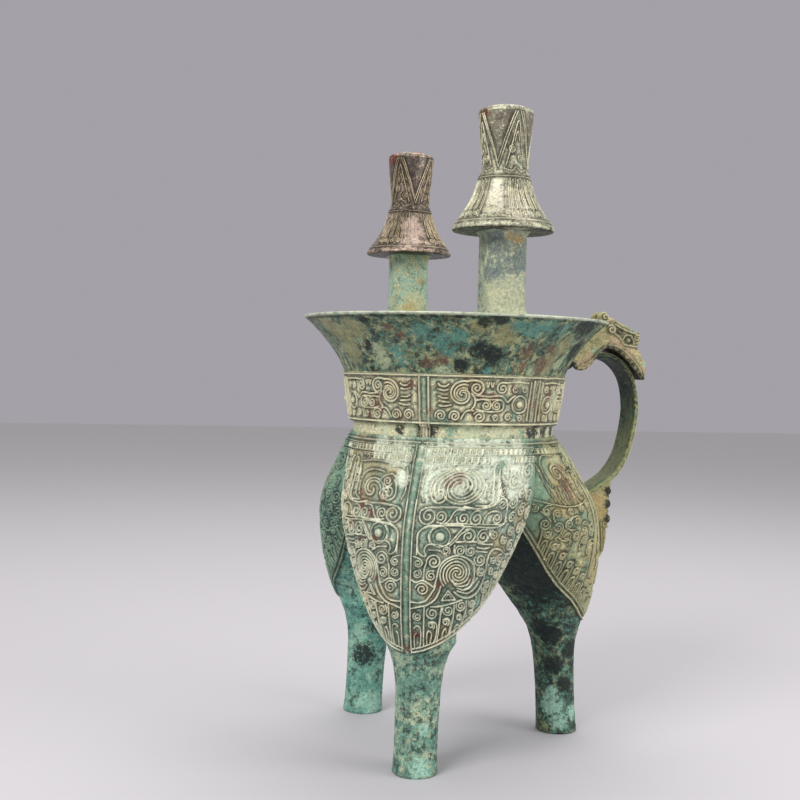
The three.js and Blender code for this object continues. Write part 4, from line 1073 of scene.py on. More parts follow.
# On the handle's side the mask leaves room for the tail, and small spirals crowd towards the valleys
SIDE_STROKES = [
    (flowing((1, 138.9), (20, 138.9), (90, 138.9)), 0.42),
    border_lines(0.0, 0.5),
    border_lines(1.5, 0.36),
    *horn_arms(43.6, 125.4, (6.4, 4.8)),
    *[(curl(*spot, 60 + 73 * i, 1 - 2 * (i % 2)), 0.34) for i, spot in enumerate(SIDE_SPIRALS)],
    *[(flowing((x, 119.4), (x + 0.4, 115.0), (x - 1.4, 112.0)), 0.36) for x in (47.4, 49.2)],
    *[(flowing((x, 119.8), (x - 0.8, 116.0), (x - 3.2, 113.6)), 0.36) for x in (38.4, 36.8)],
    *[(flowing((x, 121.6), (x, 111.6)), 0.32) for x in (42.4, 44.6)],
    (flowing((50.6, 120), (51.8, 124), (51.4, 130), (47.4, 133.6), (40.6, 133.4)), 0.34),
    (flowing((52.4, 113), (54.0, 120), (53.6, 130)), 0.34),
    (flowing((33.6, 112.2), (42, 111.0), (48, 111.0), (56, 112.6), (66, 115.0)), 0.36),
    (flowing((26.4, 78), (26.2, 96), (26.4, 137)), 0.42),
    (flowing((13.2, 72), (13.2, 96), (13.2, 137)), 0.36),
    *fringe(9, 58),
    *square_spirals(28, 60, 135.6, 1.15),
]
side_lines = drawing("side_lines", [(points, half * LINE_SHARE) for points, half in SIDE_STROKES])
# Below the border a pouch has the plain corrosion of its leg, so that the two run into one another
plain_corrosion = {
    "front": (((96, 132, 116), (172, 184, 154), (34, 52, 46), (112, 164, 148)), (0.46, 0.5, 0.5), 92),
    "handle_side": (((66, 94, 80), (142, 152, 114), (16, 26, 26), (92, 146, 130)), (0.46, 0.6, 0.48), 84),
    "back": (((92, 144, 130), (152, 186, 164), (34, 58, 54), (112, 172, 156)), (0.44, 0.44, 0.5), 84),
}
# Dark patches on that plain corrosion, from the border down the leg, partly dark patina and partly
# painted shade on the inner faces under the mask: place and radius in millimetres
PLAIN_PATINA_AND_SHADE = {
    "front": [(-40, -34, 66, 10), (-18, -36, 70, 7), (-33, -46, 42, 4), (-24, -50, 30, 3)],
    "handle_side": [(30, -20, 92, 24), (36, -18, 80, 19), (24, -22, 100, 16), (28, -14, 86, 16),
                    (46, -14, 74, 8), (30, 20, 84, 20), (47, -12, 47, 6), (58, -8, 40, 5),
                    (50, -10, 33, 5), (56, -10, 24, 4), (44, -8, 52, 6), (47, -9, 18, 3)],
    "back": [(-36, 30, 84, 14), (-14, 40, 90, 12), (-34, 42, 62, 7), (-30, 40, 30, 7), (-26, 38, 44, 5)],
}
PATINA_AND_SHADE_STRENGTH = {"front": 1.0, "handle_side": 1.5, "back": 1.0}
# Patches inside the border: arc from the spine, height and radius in millimetres
FRONT_SPOTS = {
    "rust": [(-14, 116, 4), (-24, 112, 5), (-19, 109, 4), (-27, 117, 3), (-30, 104, 4), (-16, 99, 3),
             (-24, 98, 3), (-12, 122, 3), (14, 83, 3), (14, 123, 4), (18, 125, 4), (4, 61, 3),
             (27, 84, 3), (-14, 83, 3), (-33, 90, 4), (0, 55, 2.5), (48, 102, 3)],
    "teal": [(22, 112, 5), (14, 112, 5), (12, 102, 5), (28, 104, 4), (18, 70, 6), (30, 75, 5),
             (36, 86, 6), (10, 66, 5), (24, 62, 5), (36, 130, 4), (24, 92, 4), (-6, 58, 5), (-10, 104, 4),
             *[(0, z, 2.6) for z in range(58, 138, 4)]],
    "pale": [(20, 134, 10), (32, 134, 9), (8, 132, 9), (44, 132, 10), (-10, 134, 7), (30, 124, 8),
             (46, 122, 7), (54, 126, 8), (8, 122, 7), (-20, 136, 5), (18, 124, 7), (36, 118, 4),
             (-6, 124, 4)],
    "ochre": [(-34, 132, 12), (-38, 120, 10), (-26, 128, 9), (-36, 108, 8), (-24, 118, 7), (-12, 128, 6),
              (20, 86, 6), (14, 60, 7), (40, 98, 6), (-12, 74, 8), (56, 108, 8), (10, 80, 5),
              (-24, 72, 8)],
}
SIDE_SPOTS = {
    "rust": [(-43, 117, 5), (-39, 127, 4), (-57, 130, 4), (-40, 121, 4), (-36, 112, 3), (-47, 90, 3),
             (20, 110, 7), (30, 90, 5), (8, 120, 5)],
    "teal": [(-35, 105, 6), (-30, 98, 5), (-58, 116, 7), (-54, 104, 6), (-64, 122, 6), (-46, 104, 4),
             (10, 64, 7), (24, 74, 6), (0, 92, 6), (34, 118, 6)],
    "pale": [(-40, 134, 8), (-60, 124, 8), (-66, 116, 8), (-22, 134, 9), (8, 136, 16), (34, 130, 15),
             (52, 118, 10)],
    "ochre": [(-44, 126, 12), (-36, 118, 10), (-54, 128, 9), (-50, 112, 8), (-66, 104, 6), (-60, 96, 4),
              (-56, 88, 3), (-30, 110, 9), (-26, 92, 9), (-40, 134, 8), (30, 118, 16), (-20, 80, 8)],
}
pouch_colours = {
    "front_pouch": ((148, 168, 148), (208, 210, 182), (62, 80, 68), (118, 162, 146)),
    "handle_side_pouch": ((148, 156, 120), (202, 196, 144), (60, 68, 50), (116, 156, 132)),
    "back_pouch": ((78, 116, 102), (132, 156, 130), (28, 48, 44), (86, 140, 128)),
}
pouch_ridges = {"front_pouch": (232, 230, 204), "handle_side_pouch": (212, 208, 168),
                "back_pouch": (148, 176, 150)}
pouch_pales = {"front_pouch": (230, 238, 218), "handle_side_pouch": (196, 200, 162),
               "back_pouch": (146, 180, 160)}
pouch_pale_strength = {"front_pouch": 1.35, "handle_side_pouch": 0.75, "back_pouch": 0.75}
POUCH_ROWS = 252
POUCH_COLUMNS = 400
FINE_REACH = 76
BORDER_TOP_Z = 103
# Neighbouring pouches share the teal of the vessel's inside where they meet, over this reach in mm
VALLEY_REACH = 10
VALLEY_TEAL = 2.2
heights = np.linspace(SEAT_Z, SHOULDER_Z, POUCH_ROWS)
inner_heights = np.linspace(SHOULDER_Z, SEAT_Z + 3, 18)


def wedge(azimuth):
    """A thick slice of a third of the round, which cuts a pouch off at its two valleys."""
    cutter = bmesh.new()
    ways = np.radians(azimuth + np.array([-60, 0, 60]))
    corners = [(0, 0)] + [(150 * math.cos(way), 150 * math.sin(way)) for way in ways]
    rings = []
    for z in (20, 170):
        rings.append([cutter.verts.new(np.array([x, y, z]) * MM + np.array(AXIS)) for x, y in corners])
    cutter.faces.new(rings[0][::-1])
    cutter.faces.new(rings[1])
    for i in range(4):
        j = (i + 1) % 4
        cutter.faces.new((rings[0][i], rings[0][j], rings[1][j], rings[1][i]))
    mesh = bpy.data.meshes.new("valley_cut")
    cutter.to_mesh(mesh)
    cutter.free()
    return placed("valley_cut", mesh)


def about_axis(azimuth):
    """Rows of points times this matrix are turned about the vessel's axis by an angle in degrees."""
    cosine, sine = math.cos(math.radians(azimuth)), math.sin(math.radians(azimuth))
    return np.array([[cosine, sine, 0], [-sine, cosine, 0], [0, 0, 1]])


def cut_to(piece, cutter):
    """Keeps what lies inside the cutter, as a plain mesh."""
    modifier = piece.modifiers.new("cut", "BOOLEAN")
    modifier.operation = "INTERSECT"
    modifier.solver = "MANIFOLD"
    modifier.object = cutter
    piece.data = applied(piece)
    bpy.data.objects.remove(cutter)


for pouch, azimuth in POUCH_ANGLES.items():
    outer, arcs = pouch_rings(heights, 0.0, POUCH_COLUMNS, FINE_REACH)
    inner, _ = pouch_rings(inner_heights, WALL, POUCH_COLUMNS, FINE_REACH)
    points = np.concatenate([outer, inner]) @ about_axis(azimuth)
    chart = np.full((*points.shape[:2], 2), OFF_CHART)
    chart[:POUCH_ROWS, :, 0] = np.abs(arcs - SPINE_SHIFT)
    chart[:POUCH_ROWS, :, 1] = outer[..., 2]
    if pouch != "handle_side_pouch":
        chart[:POUCH_ROWS, :, 0] += FAR_HALF * (arcs < SPINE_SHIFT)
    border = np.interp(heights, [z for _, z in BORDER], [x for x, _ in BORDER])[:, None]
    signed = np.stack([arcs - SPINE_SHIFT, outer[..., 2]], -1)
    outside = np.abs(signed[..., 0]) - np.where(heights[:, None] > BORDER_TOP_Z, 200, border)
    spots = FRONT_SPOTS if pouch == "front_pouch" else SIDE_SPOTS
    masks = {label: dabs(signed, places) * (outside < 0) for label, places in spots.items()}
    masks["pale"] *= pouch_pale_strength[pouch]
    masks["plain"] = np.clip(outside / 0.8, 0, 1)
    leg_name = pouch.replace("_pouch", "")
    # Below the border: dark patina and painted shade on the faces under the mask
    dark = dabs(points[:POUCH_ROWS], PLAIN_PATINA_AND_SHADE[leg_name])
    masks["deep"] = dark * masks["plain"] * PATINA_AND_SHADE_STRENGTH[leg_name]
    to_valley = outer[..., 0] * math.sin(THIRD / 2) - np.abs(outer[..., 1]) * math.cos(THIRD / 2)
    valley = np.clip(1 - to_valley / VALLEY_REACH, 0, 1) * (outside < 0) * VALLEY_TEAL
    inside_teal = np.full(inner.shape[:2], VALLEY_TEAL)
    masks["teal"] = np.concatenate([np.maximum(masks["teal"], valley), inside_teal])
    mesh = skin(pouch + "_skin", points, chart, masks)
    drawn = (side_lines, None) if pouch == "handle_side_pouch" else (pouch_lines, pouch_bosses)
    pouch_finish = bronze(pouch + "_bronze", pouch_colours[pouch], (0.44, 0.46, 0.42), blotch=72,
                          ridge=pouch_ridges[pouch], rub=0.9, hollow_patina_and_shade=0.92, rust=(104, 62, 48),
                          teal=(112, 148, 126), pale=pouch_pales[pouch], hollow=(26, 31, 26),
                          plain=plain_corrosion[leg_name])
    bag = cast(pouch + "_cast", mesh, pouch_finish, *drawn, ridge_height=0.6, hollow_depth=0.25)
    cut_to(bag, wedge(azimuth))
    crisp(bag)
    joined_to(bag, "verdigris_bronze", pouch)

# Legs: hollow round castings brazed under the pouches, swelling where they meet them and a
# little at the foot. Rough green corrosion, with dark flecks and pale crust, and no ornament.

LEG_ANGLES = {"front_leg": -120, "handle_side_leg": 0, "back_leg": 120}
FOOT_CIRCLE = 55.8
FOOT_RADIUS = 9.7
ANKLE_RADIUS = 9.2
LEG_COLUMNS = 120
LEG_PALE = {
    "front": [(-28, -56, 4, 6), (-26, -58, 20, 4), (-24, -52, 34, 3)],
    "handle_side": [(50, -8, 14, 7), (54, -6, 6, 6), (60, -6, 10, 5), (49, -9, 20, 4)],
    "back": [(-26, 40, 6, 8)],
}
for leg, azimuth in LEG_ANGLES.items():
    levels = np.linspace(0, 1, 110)
    swell = eased(levels, [0, 0.4, 0.72, 0.87, 1], [0, 0, 0.14, 0.42, 1], 0.03)
    radius = ANKLE_RADIUS + (SEAT_RADIUS - ANKLE_RADIUS) * swell
    radius += (FOOT_RADIUS - ANKLE_RADIUS) * np.clip(1 - levels / 0.25, 0, 1)**2
    radius -= 0.5 * np.clip(1 - levels / 0.012, 0, 1)
    middle = FOOT_CIRCLE + (SEAT_CIRCLE - FOOT_CIRCLE) * levels
    direction = math.radians(azimuth)
    middle_x = middle[:, None] * math.cos(direction)
    middle_y = middle[:, None] * math.sin(direction)
    points = turned(np.column_stack([radius, levels * (SEAT_Z - 0.02)]), LEG_COLUMNS, middle_x, middle_y)
    leg_name = leg.replace("_leg", "")
    # The same dark patches, partly patina and partly painted shade, run down the legs
    masks = {"deep": dabs(points, PLAIN_PATINA_AND_SHADE[leg_name]) * PATINA_AND_SHADE_STRENGTH[leg_name],
             "pale": dabs(points, LEG_PALE[leg_name])}
    mesh = skin(leg + "_skin", points, masks=masks)
    leg_finish = bronze(leg + "_bronze", *plain_corrosion[leg_name], rust=(98, 50, 38),
                        teal=(108, 150, 138), pale=(164, 208, 188), bump=0.5)
    column = cast(leg + "_cast", mesh, leg_finish, casting_waves=0.5, pitting=0.3)
    crisp(column)
    joined_to(column, "leg_bronze", leg)

# Post stems: solid square bars with rounded corners that stand on the slope of the mouth
# against the lip, with a small fillet at each end. Blue-grey at the top and pale green below.

POST_ANGLES = {"near_post": -89, "far_post": 97}
POST_CIRCLE = 59.3
STEM_HALF = 8.8
STEM_FOOT_HALF = 10.2
STEM_RISE = 0.4
FOOT_FILLET = 3.4
TOP_FILLET = 3.0
CAP_Z = 227.6
stem_finishes = {
    "near_post": bronze("near_stem_bronze",
                        ((146, 158, 136), (184, 186, 152), (96, 110, 104), (128, 152, 142)),
                        (0.44, 0.44, 0.36), blotch=80, teal=(98, 112, 112), rust=(178, 152, 104),
                        pale=(180, 182, 150), rough=(0.6, 0.85)),
    "far_post": bronze("far_stem_bronze",
                       ((156, 180, 158), (190, 190, 152), (88, 112, 100), (148, 190, 172)),
                       (0.46, 0.38, 0.42), blotch=80, rust=(184, 160, 104), pale=(190, 190, 146),
                       rough=(0.6, 0.85)),
}
STEM_SPOTS = {
    "near_post": {"teal": [(-4, -68, 221, 9), (4, -68, 215, 9), (-6, -66, 211, 7), (6, -66, 221, 6)],
                  "rust": [(5, -69, 224, 4), (1, -69, 225, 3)],
                  "pale": [(0, -68, 199, 12), (-6, -68, 206, 4)]},
    "far_post": {"teal": [], "rust": [(-8, 50, 200, 6), (-3, 50, 214, 3.5)],
                 "pale": [(-6, 50, 204, 7), (-10, 50, 198, 8)]},
}


def rounded(wave, power):
    """Squares a circle: the smaller the power of its sine and cosine, the sharper its corners."""
    return np.sign(wave) * np.abs(wave)**power


for post, azimuth in POST_ANGLES.items():
    turn = angles_round(160)
    shape = np.stack([rounded(np.cos(turn), 0.5), rounded(np.sin(turn), 0.5)], 1)
    slope_z = np.linspace(NECK_Z, RIM_Z, 120)
    slope_r = flare_radius(slope_z, WALL + 0.1)
    foot = shape * STEM_FOOT_HALF + np.array([POST_CIRCLE, 0])
    reach = np.hypot(foot[:, 0], foot[:, 1])
    sole = np.where(reach > slope_r[-1], RIM_Z + 0.35, np.interp(reach, slope_r, slope_z))
    rows = []
    for share in np.linspace(0, 1, 16)[:-1]:
        rows.append(np.column_stack([foot, sole + (RIM_Z + STEM_RISE - sole) * share]))
    for z in np.linspace(RIM_Z + STEM_RISE, CAP_Z, 76):
        low = max(0, 1 - (z - RIM_Z - STEM_RISE) / FOOT_FILLET)**2
        high = max(0, 1 - (CAP_Z - z) / TOP_FILLET)**2
        half = STEM_HALF + (STEM_FOOT_HALF - STEM_HALF) * max(low, high)
        rows.append(np.column_stack([shape * half + np.array([POST_CIRCLE, 0]), np.full(len(turn), z)]))
    points = np.array(rows) @ about_axis(azimuth)
    spots = {label: dabs(points, places) for label, places in STEM_SPOTS[post].items()}
    mesh = skin(post + "_stem_skin", points, masks=spots)
    stem = cast(post + "_stem_cast", mesh, stem_finishes[post], casting_waves=0.5, pitting=0.15)
    crisp(stem)
    joined_to(stem, "stem_bronze", post + "_stem")

# Post caps: a bell with fanned loops and a plain brim under a waisted finial with four hanging
# blades, cast in one and socketed on the stem. Browner than the body, the blades nearly black.

BRIM_RADIUS = 21.3
BELL_Z = 250.3
CROWN_Z = 280.0
BELL_SCALE = 16.0
FINIAL_SCALE = 10.0
BLADE_PITCH = 2 * math.pi * FINIAL_SCALE / 4
BLADE_TIP_Z = 255.5
BLADE_TOP_Z = 275.6
CROWN_EDGE_Z = 276.5
CAP_COLUMNS = 440
# Brim and crown of the cap: radius, and height over the cap's foot or depth below its top
BRIM = [(6.0, 0), (14.0, 0), (19.8, 0), (20.8, 0.15), (21.25, 0.55), (21.3, 1.1), (21.05, 1.6),
        (20.75, 1.9)]
CROWN = [(11.3, 2.6), (10.7, 2.1), (9.4, 1.6), (7.4, 0.95), (5.0, 0.4), (2.4, 0.1), (0.8, 0)]
WAIST_LEVELS = [0, 0.04, 0.1, 0.42, 0.7, 0.9, 1]
WAIST_RADII = [10.9, 10.2, 9.5, 9.75, 10.7, 11.3, 11.45]
cap_strokes = [
    (flowing((-2, 230.9), (104, 230.9)), 0.24),
    (flowing((-2, 249.4), (104, 249.4)), 0.28),
]
# Fans of fine loops over curls, with a smooth face left below the point of each blade
LOOP_PITCH = 2 * math.pi * BELL_SCALE / 32
for i in range(-1, 34):
    x = i * LOOP_PITCH
    if i % 8 in (3, 4, 5):
        continue
    loop = [(-0.8, 235.8), (-0.7, 242), (-0.5, 247.0), (0, 248.0), (0.5, 247.0), (0.7, 242), (0.8, 235.8)]
    cap_strokes += [
        (flowing(*[(x + across, z) for across, z in loop]), 0.21),
        (flowing((x + LOOP_PITCH / 2, 232.2), (x + LOOP_PITCH / 2, 248.4)), 0.22),
        (spiral(x, 233.9, 1.15, 90, 1.5 if i % 2 else -1.5, 0.25), 0.24),
    ]
for i in range(-1, 5):
    x = (i + 0.5) * BLADE_PITCH
    half = BLADE_PITCH / 2
    for inset in (0.0, 0.9):
        tip = (x - 0.4 * inset, 253.2 + 2.4 * inset)
        left, right_end = x - half + inset + 0.6, x + half - inset - 0.6
        cap_strokes.append((np.array([(left, BLADE_TOP_Z), tip, (right_end, BLADE_TOP_Z)]), 0.21))
    y = x + half
    cap_strokes += [
        (spiral(y - 1.8, 260.4, 1.7, 90, 1.6, 0.3), 0.26),
        (spiral(y + 1.8, 257.0, 1.5, 270, 1.6, 0.3), 0.26),
        (flowing((y - 4.4, 254.0), (y - 1.8, 264.0), (y, 272.0), (y + 1.8, 264.0), (y + 4.4, 254.0)),
         0.24),
        (flowing((y - 1.0, 263.8), (y, 267.6), (y + 1.0, 263.8)), 0.22),
        (flowing((y - 5.2, 252.6), (y - 2.0, 251.6), (y, 253.4), (y + 2.0, 251.6), (y + 5.2, 252.6)),
         0.24),
    ]
cap_lines = drawing("cap_lines", cap_strokes)
cap_finishes = {
    "near_post": bronze("near_cap_bronze",
                        ((142, 140, 118), (200, 196, 168), (64, 60, 50), (136, 156, 136)),
                        (0.56, 0.42, 0.44), blotch=92, ridge=(226, 220, 188), hollow=(58, 54, 42),
                        teal=(96, 88, 76), rust=(110, 66, 46), pale=(214, 208, 188), rub=0.72, hollow_patina_and_shade=1.0,
                        rough=(0.3, 0.62), metallic=0.4),
    "far_post": bronze("far_cap_bronze", ((116, 102, 88), (190, 168, 148), (46, 38, 36), (104, 120, 106)),
                       (0.5, 0.46, 0.34), blotch=88, ridge=(212, 196, 156), hollow=(36, 30, 26),
                       teal=(70, 64, 62), rust=(124, 44, 32), pale=(206, 184, 172), rub=0.72, hollow_patina_and_shade=1.0,
                       rough=(0.26, 0.58), metallic=0.5),
}
CROWN_RUST = {"near_post": [(-9, -61.8, 276, 6)], "far_post": [(-17.2, 56.4, 277, 7), (-7, 51, 279, 5)]}
# Painted highlights: pale patches on each bell's face towards the camera and the key light
BELL_HIGHLIGHTS = {"near_post": [(-3, -72, 240, 9), (2, -74, 232, 8)],
                "far_post": [(-10, 46, 240, 7), (-12, 42, 233, 6)]}
BLADE_TURN = {"near_post": -171.0, "far_post": -134.0}
for post, azimuth in POST_ANGLES.items():
    bell = np.linspace(0.06, 1, 66)
    profile = [(r, CAP_Z + z) for r, z in BRIM]
    bell_radii = BRIM_RADIUS + (WAIST_RADII[0] - BRIM_RADIUS) * (1 - (1 - bell)**1.7)
    profile += list(zip(bell_radii, CAP_Z + 1.8 + (BELL_Z - CAP_Z - 1.8) * bell))
    neck = np.linspace(0.02, 1, 84)
    crown_edge = CROWN_Z - 3.2
    waist = np.pad(np.interp(neck, WAIST_LEVELS, WAIST_RADII), 3, mode="edge")
    waist = np.convolve(waist, np.ones(7) / 7, "valid")
    profile += list(zip(waist, BELL_Z + (crown_edge - BELL_Z) * neck))
    profile += [(r, CROWN_Z - depth) for r, depth in CROWN]
    profile = np.array(profile)
    direction = math.radians(azimuth)
    post_x, post_y = POST_CIRCLE * math.cos(direction), POST_CIRCLE * math.sin(direction)
    points = turned(profile, CAP_COLUMNS, post_x, post_y)
    spin = (angles_round(CAP_COLUMNS) - math.radians(BLADE_TURN[post])) % (2 * math.pi)
    scale = np.where(profile[:, 1] > BELL_Z + 0.6, FINIAL_SCALE, BELL_SCALE)[:, None]
    chart = np.stack([spin[None] * scale, points[..., 2]], -1)
    chart[:len(BRIM)] = OFF_CHART
    chart[profile[:, 1] > crown_edge + 0.1] = OFF_CHART
    # The blades and the crown wear the cap's teal, which is nearly black
    across = np.abs((spin * FINIAL_SCALE) % BLADE_PITCH - BLADE_PITCH / 2)[None]
    rise = profile[:, 1:]
    blade_half = (BLADE_PITCH / 2 - 1.2) * (rise - BLADE_TIP_Z) / (BLADE_TOP_Z - BLADE_TIP_Z)
    blade = np.clip((blade_half - across) / 0.8, 0, 1) * (rise > BLADE_TIP_Z) * (rise < BLADE_TOP_Z + 0.6)
    crown = np.clip(rise - CROWN_EDGE_Z, 0, 1) * np.ones((1, CAP_COLUMNS))
    # Painted shade: the underside of the brim is darkened
    brim_shade = (np.arange(len(profile)) < 4)[:, None] * np.ones((1, CAP_COLUMNS))
    masks = {"teal": np.maximum(blade, crown * 0.6), "deep": brim_shade * 0.7,
             "rust": dabs(points, CROWN_RUST[post]), "pale": dabs(points, BELL_HIGHLIGHTS[post])}
    mesh = skin(post + "_cap_skin", points, chart, masks)
    cap = cast(post + "_cap_cast", mesh, cap_finishes[post], cap_lines, ridge_height=0.3,
               casting_waves=0.3, hollow_depth=0.1, wander=0.3, pitting=0.15)
    crisp(cap)
    joined_to(cap, "cap_bronze", post + "_cap")

# Handle strap: a band of cast bronze with a low crown outside and a slight hollow inside. It rises
# from the pouch, bends over and runs under the beast's head into the flare, brazed at both ends.

STRAP_HALF = 8.0
STRAP_THICKNESS = 2.6
STRAP_CROWN = 0.55
STRAP_PATH = [(56.0, 108.2), (60.5, 110.8), (71.6, 117.3), (79.1, 123.1), (84.7, 132.2), (88.1, 145.3),
              (88.9, 155.7), (86.8, 166.8), (81.8, 174.4), (75.3, 178.1), (67.4, 178.6), (57.0, 177.9)]
strap_line = flowing(*STRAP_PATH)
strap_run = np.concatenate([[0], np.cumsum(np.linalg.norm(np.diff(strap_line, axis=0), axis=1))])
strap_slope = np.gradient(strap_line, axis=0)
ahead_x, ahead_z = strap_slope.T / np.linalg.norm(strap_slope, axis=1)
round_turn = angles_round(96)
outward = rounded(np.cos(round_turn), 0.35)
across = rounded(np.sin(round_turn), 0.55)
across_mm = across * STRAP_HALF
thick = outward * STRAP_THICKNESS / 2 + STRAP_CROWN * (1 - across**2)
strap_points = np.stack([
    strap_line[:, :1] + ahead_z[:, None] * thick[None],
    np.repeat(across_mm[None], len(strap_line), axis=0),
    strap_line[:, 1:] - ahead_x[:, None] * thick[None],
], -1)
strap_chart = np.stack([np.repeat(across_mm[None], len(strap_line), axis=0),
                        np.repeat(strap_run[:, None], len(round_turn), axis=1)], -1)
inner_face = outward < 0.2
strap_chart[:, inner_face] = OFF_CHART
strap_strokes = [(flowing((side * 6.3, -3), (side * 6.3, strap_run[-1] + 3)), 0.45) for side in (-1, 1)]
strap_strokes += [(flowing((side * 1.2, 14), (side * 1.2, 74)), 0.4) for side in (-1, 1)]
strap_strokes += [(spiral(0, 76.6, 2.4, 90, turns), 0.42) for turns in (1.6, -1.6)]
strap_lines = drawing("strap_lines", strap_strokes)
strap_finish = bronze("strap_bronze", ((74, 96, 72), (128, 132, 90), (34, 52, 44), (70, 112, 96)),
                      (0.42, 0.5, 0.3), blotch=60, teal=(48, 104, 92), rust=(166, 164, 104),
                      ochre=(152, 156, 122), rough=(0.5, 0.8), bump=0.5)
edge = np.clip((np.abs(across) - 0.8) / 0.15, 0, 1) * (np.abs(outward) < 0.95)
edge_wear = np.interp(strap_run, [0, 20, 50, 80, 100], [0.75, 0.8, 0.72, 0.5, 0.3])
strap_masks = {
    "rust": np.clip(edge[None] * edge_wear[:, None], 0, 1),
    "teal": dabs(strap_points, [(68, -6, 114, 5), (72, -7, 119, 5), (88, -8, 152, 4), (62, -6, 111, 3)]),
    # Painted shade: the inner face darkens towards the top, under the bend and the head
    "deep": np.clip((strap_points[..., 2] - 150) / 22, 0, 0.85) * inner_face[None],
    "ochre": np.clip((156 - strap_points[..., 2]) / 34, 0, 0.9) * inner_face[None],
}
strap_mesh = skin("strap_skin", strap_points, strap_chart, strap_masks)
strap = cast("strap_cast", strap_mesh, strap_finish, strap_lines, ridge_height=0.4, casting_waves=0.4,
             pitting=0.15)
crisp(strap, 50)
joined_to(strap, "strap_bronze", "handle_strap")

# Beast head: a hollow-jawed head cast over the top of the strap. Its jaws hold the flare, and it
# wears horns, ringed ears, sunken eyes and a knobbed snout over a smooth cheek. Tan and pale green.

HEAD_HALF = 11.0
SIDE_FACING = 0.55
HEAD_OUTLINE = [(71.0, 195.2), (75.0, 196.0), (79.7, 193.6), (84.0, 191.6), (87.6, 189.4), (88.6, 186.8),
                (87.4, 183.6), (88.2, 181.5), (89.9, 178.6), (91.2, 175.4), (91.8, 172.6), (91.4, 167.6),
                (88.9, 170.2), (86.6, 173.0), (83.5, 176.6), (80.4, 179.3), (78.0, 181.0), (75.2, 182.3),
                (71.8, 182.6), (69.2, 180.6), (66.6, 178.0), (64.6, 174.8), (61.6, 172.4), (58.0, 171.9),
                (54.6, 173.6), (53.0, 176.5), (60.0, 187.0), (68.0, 195.2)]


def plate(name, outline, half_width):
    """A flat slab from its side view and half width, in millimetres about the handle's plane."""
    shape = bmesh.new()
    sides = []
    for y in (-half_width, half_width):
        sides.append([shape.verts.new(np.array([x, y, z]) * MM + np.array(AXIS)) for x, z in outline])
    shape.faces.new(sides[0])
    shape.faces.new(sides[1][::-1])
    for i in range(len(outline)):
        j = (i + 1) % len(outline)
        shape.faces.new((sides[0][j], sides[0][i], sides[1][i], sides[1][j]))
    bmesh.ops.triangulate(shape, faces=shape.faces[:])
    bmesh.ops.recalc_face_normals(shape, faces=shape.faces[:])
    mesh = bpy.data.meshes.new(name)
    shape.to_mesh(mesh)
    shape.free()
    return mesh


def domes(name, places):
    """Ellipsoids in one mesh, each with its middle and its three half sizes in millimetres."""
    shape = bmesh.new()
    for middle, sizes in places:
        stretch = Matrix.Diagonal((*[size * MM for size in sizes], 1))
        place = Matrix.Translation(AXIS + Vector(middle) * MM) @ stretch
        bmesh.ops.create_uvsphere(shape, u_segments=28, v_segments=18, radius=1, matrix=place)
    mesh = bpy.data.meshes.new(name)
    shape.to_mesh(mesh)
    shape.free()
    return mesh


def modelled(name, solids, cuts, voxel, rounding):
    """Solids melted into one lump and rounded, like a wax model, after cuts into the first of them."""
    lump = placed(name, solids[0])
    cutters = [placed("cutter", mesh) for mesh in cuts]
    for cutter in cutters:
        modifier = lump.modifiers.new("cut", "BOOLEAN")
        modifier.operation = "DIFFERENCE"
        modifier.solver = "MANIFOLD"
        modifier.object = cutter
    plain = applied(lump)
    for cutter in cutters:
        bpy.data.objects.remove(cutter)
    melted = bmesh.new()
    melted.from_mesh(plain)
    for mesh in solids[1:]:
        melted.from_mesh(mesh)
    melted.to_mesh(plain)
    melted.free()
    lump.data = plain
    grain = lump.modifiers.new("melt", "REMESH")
    grain.mode = "VOXEL"
    grain.voxel_size = voxel * MM
    soft = lump.modifiers.new("round", "SMOOTH")
    soft.factor = 0.5
    soft.iterations = rounding
    finished = applied(lump)
    bpy.data.objects.remove(lump)
    finished.name = name
    return finished


def side_view(mesh, spots):
    """Charts both sides of a modelled piece by their side view, and paints spots of x, y, z and radius.
    Returns the places of its vertices in millimetres about the vessel's axis."""
    count = len(mesh.vertices)
    places = np.empty(count * 3)
    mesh.vertices.foreach_get("co", places)
    places = (places.reshape(-1, 3) - np.array(AXIS)) * 1000
    normals = np.empty(count * 3)
    mesh.vertices.foreach_get("normal", normals)
    place = np.full((count, 3), OFF_CHART)
    flat = np.abs(normals.reshape(-1, 3)[:, 1]) > SIDE_FACING
    place[flat, :2] = places[flat][:, [0, 2]]
    place[:, 2] = 0
    mesh.attributes.new("chart", "FLOAT_VECTOR", "POINT").data.foreach_set("vector", place.ravel())
    for label, where in spots.items():
        mesh.attributes.new(label, "FLOAT", "POINT").data.foreach_set("value", dabs(places, where))
    return places


def flare_core(inset):
    """The room inside the flare, less an inset, which a piece that grips the flare is cut back from."""
    levels = np.linspace(164, 196, 40)
    radius = flare_radius(np.clip(levels, NECK_Z, RIM_Z)) - inset
    return skin("flare_core", turned(np.column_stack([radius, levels]), 240))


